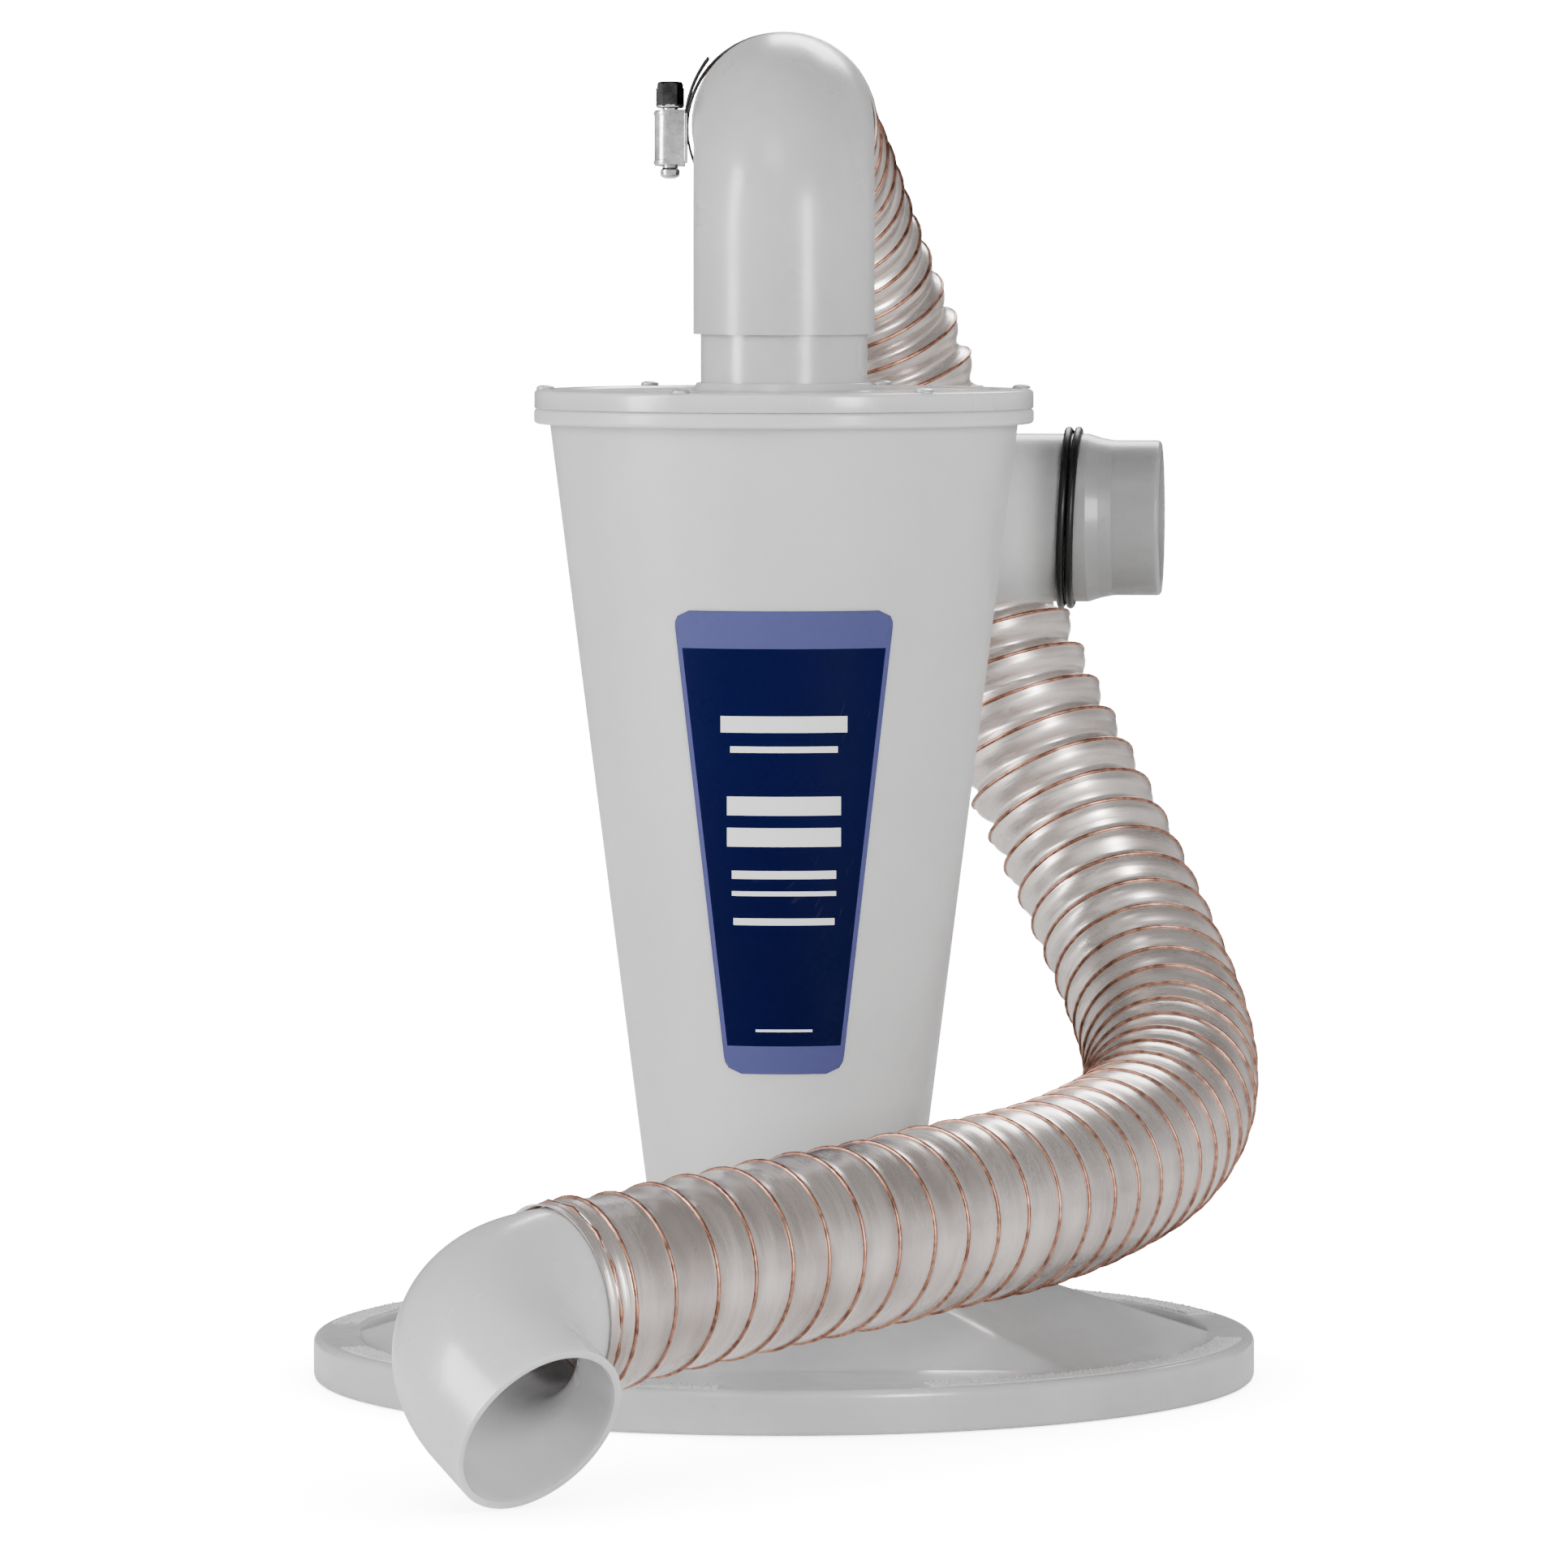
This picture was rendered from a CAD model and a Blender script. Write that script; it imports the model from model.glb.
"""Looks of a small cyclone dust separator, built round its fixed frame.

Lengths are in metres and angles in degrees. Every piece sits in the frame's own axes: the
origin is the middle of the lid's underside, +Z is up and the inlet points along +X.
"""

import logging
import math
from dataclasses import dataclass, field
from enum import Enum
from typing import Callable, Sequence

import bmesh
import bpy
import numpy as np
from mathutils import Matrix, Vector


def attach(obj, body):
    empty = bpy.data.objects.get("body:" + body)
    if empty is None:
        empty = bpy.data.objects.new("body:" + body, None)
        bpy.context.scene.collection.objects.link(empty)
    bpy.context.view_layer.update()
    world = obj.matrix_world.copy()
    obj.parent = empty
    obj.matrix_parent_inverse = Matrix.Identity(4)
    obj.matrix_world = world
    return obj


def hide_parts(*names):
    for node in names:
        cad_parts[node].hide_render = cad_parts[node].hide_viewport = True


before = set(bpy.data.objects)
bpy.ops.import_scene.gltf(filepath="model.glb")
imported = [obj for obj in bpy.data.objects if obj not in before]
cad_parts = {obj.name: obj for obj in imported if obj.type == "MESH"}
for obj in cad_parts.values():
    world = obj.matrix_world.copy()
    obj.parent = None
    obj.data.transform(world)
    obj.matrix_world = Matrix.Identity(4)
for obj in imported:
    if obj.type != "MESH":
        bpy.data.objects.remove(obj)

LOG = logging.getLogger("dust_separator")
MM = 0.001
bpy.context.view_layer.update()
Colour = tuple[float, float, float]


class Body(Enum):
    """The moving bodies that pieces ride on."""

    BASE = "base"
    ARM = "outlet_arm"
    WORM = "clamp_worm"
    NOZZLE = "nozzle"


class Slot(Enum):
    """The record's material slots."""

    LID = "lid_plastic"
    BODY = "body_plastic"
    ELBOW = "elbow_plastic"
    RUBBER = "black_rubber"
    FOAM = "grey_foam"
    ZINC = "zinc_steel"
    STAINLESS = "stainless"
    LABEL = "label_film"
    FILM = "hose_film"


# ---------------------------------------------------------------- node trees


class NodeKit:
    """Adds and wires the nodes of one tree."""

    def __init__(self, tree: bpy.types.NodeTree) -> None:
        """Keeps the tree."""
        self.tree = tree

    def add(self, kind: str, **settings: object) -> bpy.types.Node:
        """Adds a node.

        Args:
            kind: The node's type name.
            **settings: Properties to set on it.

        Returns:
            The new node.
        """
        node = self.tree.nodes.new(kind)
        for name, value in settings.items():
            setattr(node, name, value)
        return node

    def feed(self, socket: bpy.types.NodeSocket, value: object) -> None:
        """Links a socket to an output, or sets its plain value.

        Args:
            socket: The input socket.
            value: An output socket, a plain value, or None to leave it alone.
        """
        if isinstance(value, bpy.types.NodeSocket):
            self.tree.links.new(value, socket)
        elif value is not None:
            socket.default_value = value

    def fill(self, node: bpy.types.Node, **values: object) -> bpy.types.Node:
        """Feeds a node's inputs by name, with _ for a space.

        Args:
            node: The node.
            **values: What to feed each input.

        Returns:
            The same node.
        """
        for name, value in values.items():
            self.feed(node.inputs[name.replace("_", " ")], value)
        return node

    def maths(self, operation: str, *values: object) -> bpy.types.NodeSocket:
        """Adds a Math node.

        Args:
            operation: Its operation.
            *values: Its inputs in order.

        Returns:
            Its result.
        """
        node = self.add("ShaderNodeMath", operation=operation)
        for socket, value in zip(node.inputs, values):
            self.feed(socket, value)
        return node.outputs[0]

    def noise(
        self, vector: object, scale: object, detail: float = 3.0, rough: float = 0.55, w: object = None
    ) -> bpy.types.NodeSocket:
        """Adds a Noise Texture.

        Args:
            vector: What it reads.
            scale: Its scale.
            detail: Its detail.
            rough: Its roughness.
            w: Its fourth coordinate, or None for a 3D noise.

        Returns:
            Its factor, about 0.2 to 0.8.
        """
        node = self.add("ShaderNodeTexNoise", noise_dimensions="3D" if w is None else "4D")
        self.fill(node, Vector=vector, Scale=scale, Detail=detail, Roughness=rough)
        if w is not None:
            self.feed(node.inputs["W"], w)
        return node.outputs["Fac"]

    def span(
        self, value: object, low: float, high: float, to_low: float = 0.0, to_high: float = 1.0
    ) -> bpy.types.NodeSocket:
        """Maps a value from one range to another, held at both ends.

        Args:
            value: The value.
            low: Where the first range starts.
            high: Where the first range ends.
            to_low: Where the second range starts.
            to_high: Where the second range ends.

        Returns:
            The mapped value.
        """
        node = self.add("ShaderNodeMapRange", interpolation_type="SMOOTHSTEP")
        for socket, item in zip(node.inputs, (value, low, high, to_low, to_high)):
            self.feed(socket, item)
        return node.outputs[0]

    def blend(self, factor: object, first: object, second: object) -> bpy.types.NodeSocket:
        """Mixes two colours.

        Args:
            factor: The share of the second colour.
            first: A colour or socket.
            second: A colour or socket.

        Returns:
            The mixed colour.
        """
        node = self.add("ShaderNodeMix", data_type="RGBA")
        self.feed(node.inputs[0], factor)
        for socket, value in ((node.inputs[6], first), (node.inputs[7], second)):
            self.feed(socket, (*value, 1.0) if isinstance(value, tuple) else value)
        return node.outputs[2]

    def bump(self, height: object, strength: object, distance: float) -> bpy.types.NodeSocket:
        """Adds a Bump node.

        Args:
            height: The height.
            strength: Its strength.
            distance: Its depth in metres.

        Returns:
            The bumped normal.
        """
        node = self.add("ShaderNodeBump")
        self.fill(node, Height=height, Strength=strength, Distance=distance)
        return node.outputs["Normal"]


class EffectGroup(NodeKit):
    """A shader node group with named inputs and outputs, built once."""

    def __init__(self, name: str, inputs: dict[str, object], outputs: dict[str, str]) -> None:
        """Makes the group.

        Args:
            name: The group's name.
            inputs: Each input's name and plain value, whose kind sets the socket's kind.
            outputs: Each output's name and socket type.
        """
        tree = bpy.data.node_groups.new(name, "ShaderNodeTree")
        super().__init__(tree)
        for title, value in inputs.items():
            kind = "Float" if isinstance(value, float) else "Color" if len(value) == 4 else "Vector"
            socket = tree.interface.new_socket(title, in_out="INPUT", socket_type="NodeSocket" + kind)
            socket.default_value = value
        for title, kind in outputs.items():
            tree.interface.new_socket(title, in_out="OUTPUT", socket_type=kind)
        self.inputs = self.add("NodeGroupInput").outputs
        self.outputs = self.add("NodeGroupOutput").inputs

    def place(self, kit: NodeKit, **values: object) -> bpy.types.Node:
        """Places the group in a material.

        Args:
            kit: The material's kit.
            **values: What to feed its inputs.

        Returns:
            The group node.
        """
        return kit.fill(kit.add("ShaderNodeGroup", node_tree=self.tree), **values)


def moulding_group() -> EffectGroup:
    """Cloudy tone, fine flow marks and orange peel of moulded plastic.

    Returns:
        The group.
    """
    g = EffectGroup(
        "moulded_surface",
        {"Vector": (0.0, 0.0, 0.0), "Pale": (0.5, 0.5, 0.5, 1.0), "Deep": (0.4, 0.4, 0.4, 1.0),
         "Cloud Scale": 14.0, "Rough": 0.35, "Peel": 0.15},
        {"Colour": "NodeSocketColor", "Roughness": "NodeSocketFloat", "Normal": "NodeSocketVector"},
    )
    vector = g.inputs["Vector"]
    cloud = g.noise(vector, g.inputs["Cloud Scale"], 4.0, 0.5)
    fleck = g.span(g.noise(vector, 420.0, 2.0), 0.66, 0.74)
    share = g.maths("ADD", g.span(cloud, 0.32, 0.68), g.maths("MULTIPLY", fleck, 0.35))
    g.feed(g.outputs["Colour"], g.blend(share, g.inputs["Pale"], g.inputs["Deep"]))
    smear = g.noise(vector, 38.0, 3.0)
    rough = g.maths("MULTIPLY_ADD", g.maths("SUBTRACT", smear, 0.5), 0.3, g.inputs["Rough"])
    g.feed(g.outputs["Roughness"], rough)
    peel = g.maths("ADD", g.noise(vector, 210.0, 2.0), g.maths("MULTIPLY", g.noise(vector, 900.0, 1.0), 0.25))
    g.feed(g.outputs["Normal"], g.bump(peel, g.inputs["Peel"], 0.0006))
    return g


def scuff_group() -> EffectGroup:
    """Thin scratches and rubbed patches.

    Returns:
        The group.
    """
    g = EffectGroup(
        "scuffs",
        {"Vector": (0.0, 0.0, 0.0), "Stretch": (1.0, 22.0, 1.0), "Scale": 170.0, "Amount": 0.5},
        {"Mask": "NodeSocketFloat"},
    )
    turn = g.add("ShaderNodeMapping")
    g.fill(turn, Vector=g.inputs["Vector"], Rotation=(0.4, 0.7, 0.5), Scale=g.inputs["Stretch"])
    lines = g.span(g.noise(turn.outputs[0], g.inputs["Scale"], 1.0), 0.66, 0.74)
    patch = g.span(g.noise(g.inputs["Vector"], 21.0, 2.0), 0.5, 0.66)
    g.feed(g.outputs["Mask"], g.maths("MULTIPLY", g.maths("MULTIPLY", lines, patch), g.inputs["Amount"]))
    return g


def film_group() -> EffectGroup:
    """Creases that run round a hose, and slow clouding along it.

    Returns:
        The group.
    """
    g = EffectGroup(
        "film_creases",
        {"Vector": (0.0, 0.0, 0.0), "Fold": 0.0, "Lines": 5.0},
        {"Crease": "NodeSocketFloat", "Cloud": "NodeSocketFloat"},
    )
    spread = g.maths("MULTIPLY", g.inputs["Fold"], g.inputs["Lines"])
    fine = g.noise(g.inputs["Vector"], 1.1, 1.5, 0.5, spread)
    g.feed(g.outputs["Crease"], g.span(fine, 0.3, 0.7))
    slow = g.noise(g.inputs["Vector"], 0.55, 2.0, 0.5, g.maths("MULTIPLY", g.inputs["Fold"], 0.8))
    g.feed(g.outputs["Cloud"], g.span(slow, 0.42, 0.64))
    return g


def grain_group() -> EffectGroup:
    """Tone, roughness and fine lines of drawn or rolled metal.

    Returns:
        The group.
    """
    g = EffectGroup(
        "metal_grain",
        {"Vector": (0.0, 0.0, 0.0), "Stretch": (1.0, 1.0, 12.0), "Rough": 0.25},
        {"Tone": "NodeSocketFloat", "Roughness": "NodeSocketFloat", "Normal": "NodeSocketVector"},
    )
    turn = g.add("ShaderNodeMapping")
    g.fill(turn, Vector=g.inputs["Vector"], Scale=g.inputs["Stretch"])
    lines = g.noise(turn.outputs[0], 700.0, 2.0)
    spots = g.noise(g.inputs["Vector"], 260.0, 3.0)
    g.feed(g.outputs["Tone"], g.span(spots, 0.35, 0.7))
    g.feed(g.outputs["Roughness"], g.maths("MULTIPLY_ADD", lines, 0.25, g.inputs["Rough"]))
    g.feed(g.outputs["Normal"], g.bump(lines, 0.2, 0.0001))
    return g


@dataclass
class Effects:
    """The shader groups that more than one finish uses."""

    moulding: EffectGroup = field(default_factory=moulding_group)
    scuffs: EffectGroup = field(default_factory=scuff_group)
    film: EffectGroup = field(default_factory=film_group)
    grain: EffectGroup = field(default_factory=grain_group)


# ---------------------------------------------------------------- finishes


def start_material(name: str) -> tuple[bpy.types.Material, NodeKit, bpy.types.Node, bpy.types.NodeSocket]:
    """Makes a material with one Principled shader.

    Args:
        name: The material's name.

    Returns:
        The material, its kit, the shader node and the Object coordinates.
    """
    material = bpy.data.materials.new(name)
    material.use_nodes = True
    kit = NodeKit(material.node_tree)
    material.node_tree.nodes.clear()
    shader = kit.add("ShaderNodeBsdfPrincipled")
    out = kit.add("ShaderNodeOutputMaterial")
    kit.feed(out.inputs["Surface"], shader.outputs[0])
    where = kit.add("ShaderNodeTexCoord").outputs["Object"]
    return material, kit, shader, where


@dataclass(frozen=True)
class MilkyPlastic:
    """Cloudy white moulded plastic that light sinks into a little."""

    name: str
    pale: Colour
    deep: Colour
    rough: float = 0.36
    peel: float = 0.16
    depth: float = 0.008
    scuffed: float = 0.12
    spout: Colour | None = None
    spout_x: float = 0.0735
    spout_z: float = 0.306

    def make(self, effects: Effects) -> bpy.types.Material:
        """Builds the material.

        Args:
            effects: The shared groups.

        Returns:
            The material.
        """
        material, kit, shader, where = start_material(self.name)
        pale, deep = (*self.pale, 1.0), (*self.deep, 1.0)
        surface = effects.moulding.place(
            kit, Vector=where, Pale=pale, Deep=deep, Rough=self.rough, Peel=self.peel
        )
        marks = effects.scuffs.place(kit, Vector=where, Amount=self.scuffed).outputs["Mask"]
        worn = tuple(min(1.0, c * 1.2 + 0.02) for c in self.pale)
        colour = surface.outputs["Colour"]
        if self.spout is not None:
            split = kit.add("ShaderNodeSeparateXYZ")
            kit.feed(split.inputs[0], where)
            out = kit.span(split.outputs[0], self.spout_x, self.spout_x + 0.012)
            below = kit.maths("LESS_THAN", split.outputs[2], self.spout_z)
            colour = kit.blend(kit.maths("MULTIPLY", out, below), colour, self.spout)
        kit.fill(
            shader,
            Base_Color=kit.blend(marks, colour, worn),
            Roughness=kit.maths("ADD", surface.outputs["Roughness"], kit.maths("MULTIPLY", marks, 0.2)),
            Normal=surface.outputs["Normal"],
            Subsurface_Weight=0.75,
            Subsurface_Radius=(1.0, 1.0, 1.0),
            Subsurface_Scale=self.depth,
            Coat_Weight=0.3,
            Coat_Roughness=0.16,
        )
        return material


@dataclass(frozen=True)
class ClearFilm:
    """Thin clear hose film, pearly where it creases and clouds."""

    name: str = "clear_hose_film"
    pale: Colour = (0.78, 0.70, 0.66)
    smoke: Colour = (0.30, 0.24, 0.225)
    rough: float = 0.25

    def make(self, effects: Effects) -> bpy.types.Material:
        """Builds the material.

        Args:
            effects: The shared groups.

        Returns:
            The material.
        """
        material, kit, shader, _ = start_material(self.name)
        around = kit.add("ShaderNodeAttribute", attribute_name="around").outputs["Vector"]
        fold = kit.add("ShaderNodeAttribute", attribute_name="fold").outputs["Fac"]
        folds = effects.film.place(kit, Vector=around, Fold=fold)
        crease, cloud = folds.outputs["Crease"], folds.outputs["Cloud"]
        smoky = kit.maths("MULTIPLY", cloud, kit.maths("MULTIPLY_ADD", crease, 0.3, 0.3))
        kit.fill(
            shader,
            Base_Color=kit.blend(smoky, self.pale, self.smoke),
            Roughness=kit.maths("MULTIPLY_ADD", crease, 0.08, self.rough),
            Metallic=0.85,
            Alpha=kit.maths("MULTIPLY_ADD", crease, 0.12, 0.76),
            Normal=kit.bump(crease, 0.12, 0.0003),
            Coat_Weight=0.6,
            Coat_Roughness=0.18,
        )
        return material


@dataclass(frozen=True)
class Metal:
    """Bare metal with rolled or drawn grain."""

    name: str
    bright: Colour
    dull: Colour
    rough: float = 0.22
    stretch: tuple[float, float, float] = (1.0, 1.0, 12.0)

    def make(self, effects: Effects) -> bpy.types.Material:
        """Builds the material.

        Args:
            effects: The shared groups.

        Returns:
            The material.
        """
        material, kit, shader, where = start_material(self.name)
        grain = effects.grain.place(kit, Vector=where, Stretch=self.stretch, Rough=self.rough)
        marks = effects.scuffs.place(kit, Vector=where, Scale=180.0, Amount=0.6).outputs["Mask"]
        tone = kit.blend(grain.outputs["Tone"], self.bright, self.dull)
        kit.fill(
            shader,
            Base_Color=kit.blend(marks, tone, tuple(c * 0.6 for c in self.dull)),
            Metallic=1.0,
            Roughness=grain.outputs["Roughness"],
            Normal=grain.outputs["Normal"],
        )
        return material


@dataclass(frozen=True)
class Rubber:
    """Matt rubber or foam with a fine skin."""

    name: str
    dark: Colour
    dusty: Colour
    rough: float = 0.55
    cell: float = 500.0

    def make(self, effects: Effects) -> bpy.types.Material:
        """Builds the material.

        Args:
            effects: The shared groups.

        Returns:
            The material.
        """
        material, kit, shader, where = start_material(self.name)
        dust = kit.span(kit.noise(where, 90.0, 4.0), 0.45, 0.75)
        skin = kit.noise(where, self.cell, 2.0)
        marks = effects.scuffs.place(kit, Vector=where, Amount=0.4).outputs["Mask"]
        dirt = kit.maths("ADD", kit.maths("MULTIPLY", dust, 0.5), marks)
        kit.fill(
            shader,
            Base_Color=kit.blend(dirt, self.dark, self.dusty),
            Roughness=kit.maths("MULTIPLY_ADD", skin, 0.3, self.rough - 0.15),
            Normal=kit.bump(skin, 0.3, 0.0002),
            Specular_IOR_Level=0.25,
        )
        return material


@dataclass(frozen=True)
class PrintedLabel:
    """Glossy film label: a navy panel, a lilac border and foot, and plain pale bars."""

    name: str = "navy_label_print"
    navy: Colour = (0.0, 0.0008, 0.022)
    lilac: Colour = (0.052, 0.055, 0.15)
    paper: Colour = (0.6, 0.6, 0.6)
    top_w: float = 70.0
    foot_w: float = 37.0
    height: float = 148.0
    edging: float = 1.5
    foot_h: float = 9.0
    head_h: float = 12.0
    bars: tuple[tuple[float, float, float], ...] = (
        (112.0, 5.2, 40.0), (104.0, 2.0, 34.0), (86.0, 6.0, 36.0), (76.0, 6.0, 36.0),
        (64.0, 2.6, 33.0), (58.0, 1.5, 33.0), (49.0, 2.2, 32.0), (14.0, 0.8, 18.0),
    )

    def _bar(
        self, kit: NodeKit, across: object, up: object, bar: tuple[float, float, float]
    ) -> bpy.types.NodeSocket:
        """One bar's mask.

        Args:
            kit: The material's kit.
            across: Distance from the middle, in millimetres.
            up: Height above the foot, in millimetres.
            bar: Its height above the foot, thickness and width.

        Returns:
            The mask.
        """
        at, thick, wide = bar
        off = kit.maths("ABSOLUTE", kit.maths("SUBTRACT", up, at))
        inside = kit.maths("LESS_THAN", off, thick / 2)
        return kit.maths("MULTIPLY", inside, kit.maths("LESS_THAN", across, wide / 2))

    def make(self, effects: Effects) -> bpy.types.Material:
        """Builds the material.

        Args:
            effects: The shared groups.

        Returns:
            The material.
        """
        material, kit, shader, where = start_material(self.name)
        place = kit.add("ShaderNodeSeparateXYZ")
        kit.feed(place.inputs[0], kit.add("ShaderNodeUVMap", uv_map="print").outputs[0])
        up = kit.maths("MULTIPLY", place.outputs[1], self.height)
        width = kit.maths("MULTIPLY_ADD", place.outputs[1], self.top_w - self.foot_w, self.foot_w)
        off = kit.maths("ABSOLUTE", kit.maths("SUBTRACT", place.outputs[0], 0.5))
        across = kit.maths("MULTIPLY", off, width)
        side = kit.maths("SUBTRACT", kit.maths("MULTIPLY", width, 0.5), across)
        top = kit.maths("SUBTRACT", self.height, up)
        edge = kit.maths("MINIMUM", side, kit.maths("MINIMUM", top, up))
        border = kit.maths("LESS_THAN", edge, self.edging)
        foot = kit.maths("LESS_THAN", up, self.foot_h)
        head = kit.maths("GREATER_THAN", up, self.height - self.head_h)
        tint = kit.maths("MAXIMUM", border, kit.maths("MAXIMUM", foot, head))
        bars = 0.0
        for bar in self.bars:
            bars = kit.maths("MAXIMUM", self._bar(kit, across, up, bar), bars)
        faded = tuple(c * 1.4 for c in self.navy)
        shade = kit.blend(kit.span(kit.noise(where, 9.0), 0.3, 0.7), self.navy, faded)
        colour = kit.blend(bars, kit.blend(tint, shade, self.lilac), self.paper)
        marks = effects.scuffs.place(kit, Vector=where, Scale=90.0, Amount=0.01).outputs["Mask"]
        kit.fill(
            shader,
            Base_Color=kit.blend(marks, colour, self.paper),
            Roughness=kit.maths("MULTIPLY_ADD", kit.noise(where, 55.0), 0.2, 0.2),
            Normal=kit.bump(kit.noise(where, 160.0, 2.0), 0.08, 0.0004),
            Specular_IOR_Level=0.05,
        )
        return material


@dataclass(frozen=True)
class PlainSurface:
    """Plain pale studio floor and backdrop."""

    name: str = "studio_paper"
    tone: float = 0.85
    lift: float = 16.0

    def make(self, _: Effects) -> bpy.types.Material:
        """Builds the material, which needs no shared groups."""
        material, kit, shader, where = start_material(self.name)
        shade = kit.blend(kit.noise(where, 3.0), (self.tone,) * 3, (self.tone * 0.995,) * 3)
        seen = kit.add("ShaderNodeLightPath").outputs["Is Camera Ray"]
        kit.fill(shader, Base_Color=shade, Roughness=0.9, Emission_Color=(1.0, 1.0, 1.0, 1.0))
        near = kit.add("ShaderNodeAmbientOcclusion", samples=8)
        near.inputs["Distance"].default_value = 0.07
        open_share = kit.maths("MULTIPLY_ADD", near.outputs["AO"], 0.75, 0.25)
        glow = kit.maths("MULTIPLY", kit.maths("MULTIPLY", seen, self.lift), open_share)
        kit.feed(shader.inputs["Emission Strength"], glow)
        return material


@dataclass
class Finishes:
    """Every finish on the object, made once."""

    effects: Effects = field(default_factory=Effects)

    def __post_init__(self) -> None:
        """Builds the materials."""
        make = self.effects
        self.lid = MilkyPlastic("lid_milky_plastic", (0.42, 0.42, 0.425), (0.35, 0.35, 0.355), 0.2).make(make)
        self.pad = MilkyPlastic("lid_pad_plastic", (0.85,) * 3, (0.7,) * 3, 0.5, 0.5).make(make)
        self.body = MilkyPlastic(
            "body_milky_plastic", (0.50,) * 3, (0.455,) * 3, 0.42, spout=(0.2, 0.2, 0.2)
        ).make(make)
        self.cover = MilkyPlastic("cover_milky_plastic", (0.5,) * 3, (0.43,) * 3, 0.24).make(make)
        self.elbow = MilkyPlastic(
            "elbow_milky_plastic", (0.44, 0.44, 0.445), (0.40, 0.40, 0.405), 0.32, 0.1
        ).make(make)
        self.nozzle = MilkyPlastic(
            "nozzle_milky_plastic", (0.50, 0.50, 0.505), (0.46, 0.46, 0.465), 0.24, 0.1
        ).make(make)
        self.rubber = Rubber("black_band_rubber", (0.002,) * 3, (0.006,) * 3, 0.38).make(make)
        self.foam = Rubber("grey_gasket_foam", (0.33,) * 3, (0.45,) * 3, 0.8, 900.0).make(make)
        self.zinc = Metal("zinc_plated_steel", (0.62, 0.63, 0.65), (0.45, 0.46, 0.47), 0.3).make(make)
        self.bright = Metal("bright_clamp_steel", (0.86, 0.86, 0.87), (0.6, 0.6, 0.61), 0.12).make(make)
        self.dark = Metal("dark_clamp_steel", (0.09,) * 3, (0.04,) * 3, 0.16).make(make)
        self.copper = Metal("coppered_spring_wire", (0.46, 0.24, 0.17), (0.20, 0.09, 0.06), 0.25).make(make)
        self.film = ClearFilm().make(make)
        self.label = PrintedLabel().make(make)


# ---------------------------------------------------------------- mesh making


def mesh_object(name: str, points: Sequence, faces: Sequence) -> bpy.types.Object:
    """Makes a mesh object at the origin.

    Args:
        name: The piece's name.
        points: The vertices.
        faces: The faces.

    Returns:
        The object.
    """
    mesh = bpy.data.meshes.new(name)
    corners = np.asarray(points, float).reshape(-1, 3).tolist()
    mesh.from_pydata(corners, [], [list(map(int, f)) for f in faces])
    mesh.update()
    made = bpy.data.objects.new(name, mesh)
    bpy.context.scene.collection.objects.link(made)
    return made


def tidy(
    made: bpy.types.Object, merge: float = 2e-6, sharp: float = 38.0, outward: bool = True
) -> bpy.types.Object:
    """Merges doubled points, drops empty faces, turns faces outwards and shades the piece smooth.

    Args:
        made: The piece.
        merge: How near doubled points are.
        sharp: The angle past which an edge stays crisp.
        outward: Whether normals are worked out again.

    Returns:
        The same piece.
    """
    bm = bmesh.new()
    bm.from_mesh(made.data)
    bmesh.ops.remove_doubles(bm, verts=bm.verts, dist=merge)
    bmesh.ops.dissolve_degenerate(bm, edges=bm.edges, dist=merge / 2)
    if outward:
        bmesh.ops.recalc_face_normals(bm, faces=bm.faces)
    bm.to_mesh(made.data)
    bm.free()
    made.data.polygons.foreach_set("use_smooth", [True] * len(made.data.polygons))
    made.data.set_sharp_from_angle(angle=math.radians(sharp))
    return made


def settle(made: bpy.types.Object) -> bpy.types.Object:
    """Turns a piece's modifiers into a plain mesh and removes them."""
    depsgraph = bpy.context.evaluated_depsgraph_get()
    mesh = bpy.data.meshes.new_from_object(made.evaluated_get(depsgraph), depsgraph=depsgraph)
    old = made.data
    made.modifiers.clear()
    made.data = mesh
    bpy.data.meshes.remove(old)
    mesh.name = made.name
    return made


def dress(made: bpy.types.Object, material: bpy.types.Material) -> bpy.types.Object:
    """Gives a piece one material."""
    made.data.materials.clear()
    made.data.materials.append(material)
    return made


def place(made: bpy.types.Object, matrix: Matrix) -> bpy.types.Object:
    """Moves a piece's mesh, so that its object stays at the origin."""
    made.data.transform(matrix)
    made.data.update()
    return made


def join(name: str, parts: Sequence[bpy.types.Object]) -> bpy.types.Object:
    """Joins several pieces into one.

    Args:
        name: The new piece's name.
        parts: The pieces, which are used up.

    Returns:
        The joined piece, with each part's materials.
    """
    bm = bmesh.new()
    materials: list[bpy.types.Material] = []
    for part in parts:
        shift = len(materials)
        materials.extend(part.data.materials)
        start = len(bm.faces)
        bm.from_mesh(part.data)
        bm.faces.ensure_lookup_table()
        for face in bm.faces[start:]:
            face.material_index += shift
        bpy.data.objects.remove(part)
    made = mesh_object(name, [], [])
    bm.to_mesh(made.data)
    bm.free()
    for material in materials:
        made.data.materials.append(material)
    return made


def finish(
    made: bpy.types.Object, body: Body, replaces: Sequence[str] = ()
) -> bpy.types.Object:
    """Rides a piece on its body and the nodes it stands for, and logs it.

    Args:
        made: The piece.
        body: The body it moves with.
        replaces: The CAD nodes it stands for.

    Returns:
        The same piece.
    """
    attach(made, body.value)
    if replaces:
        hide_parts(*replaces)
    LOG.info("%s: %d faces, rides on %s", made.name, len(made.data.polygons), body.value)
    return made


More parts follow.
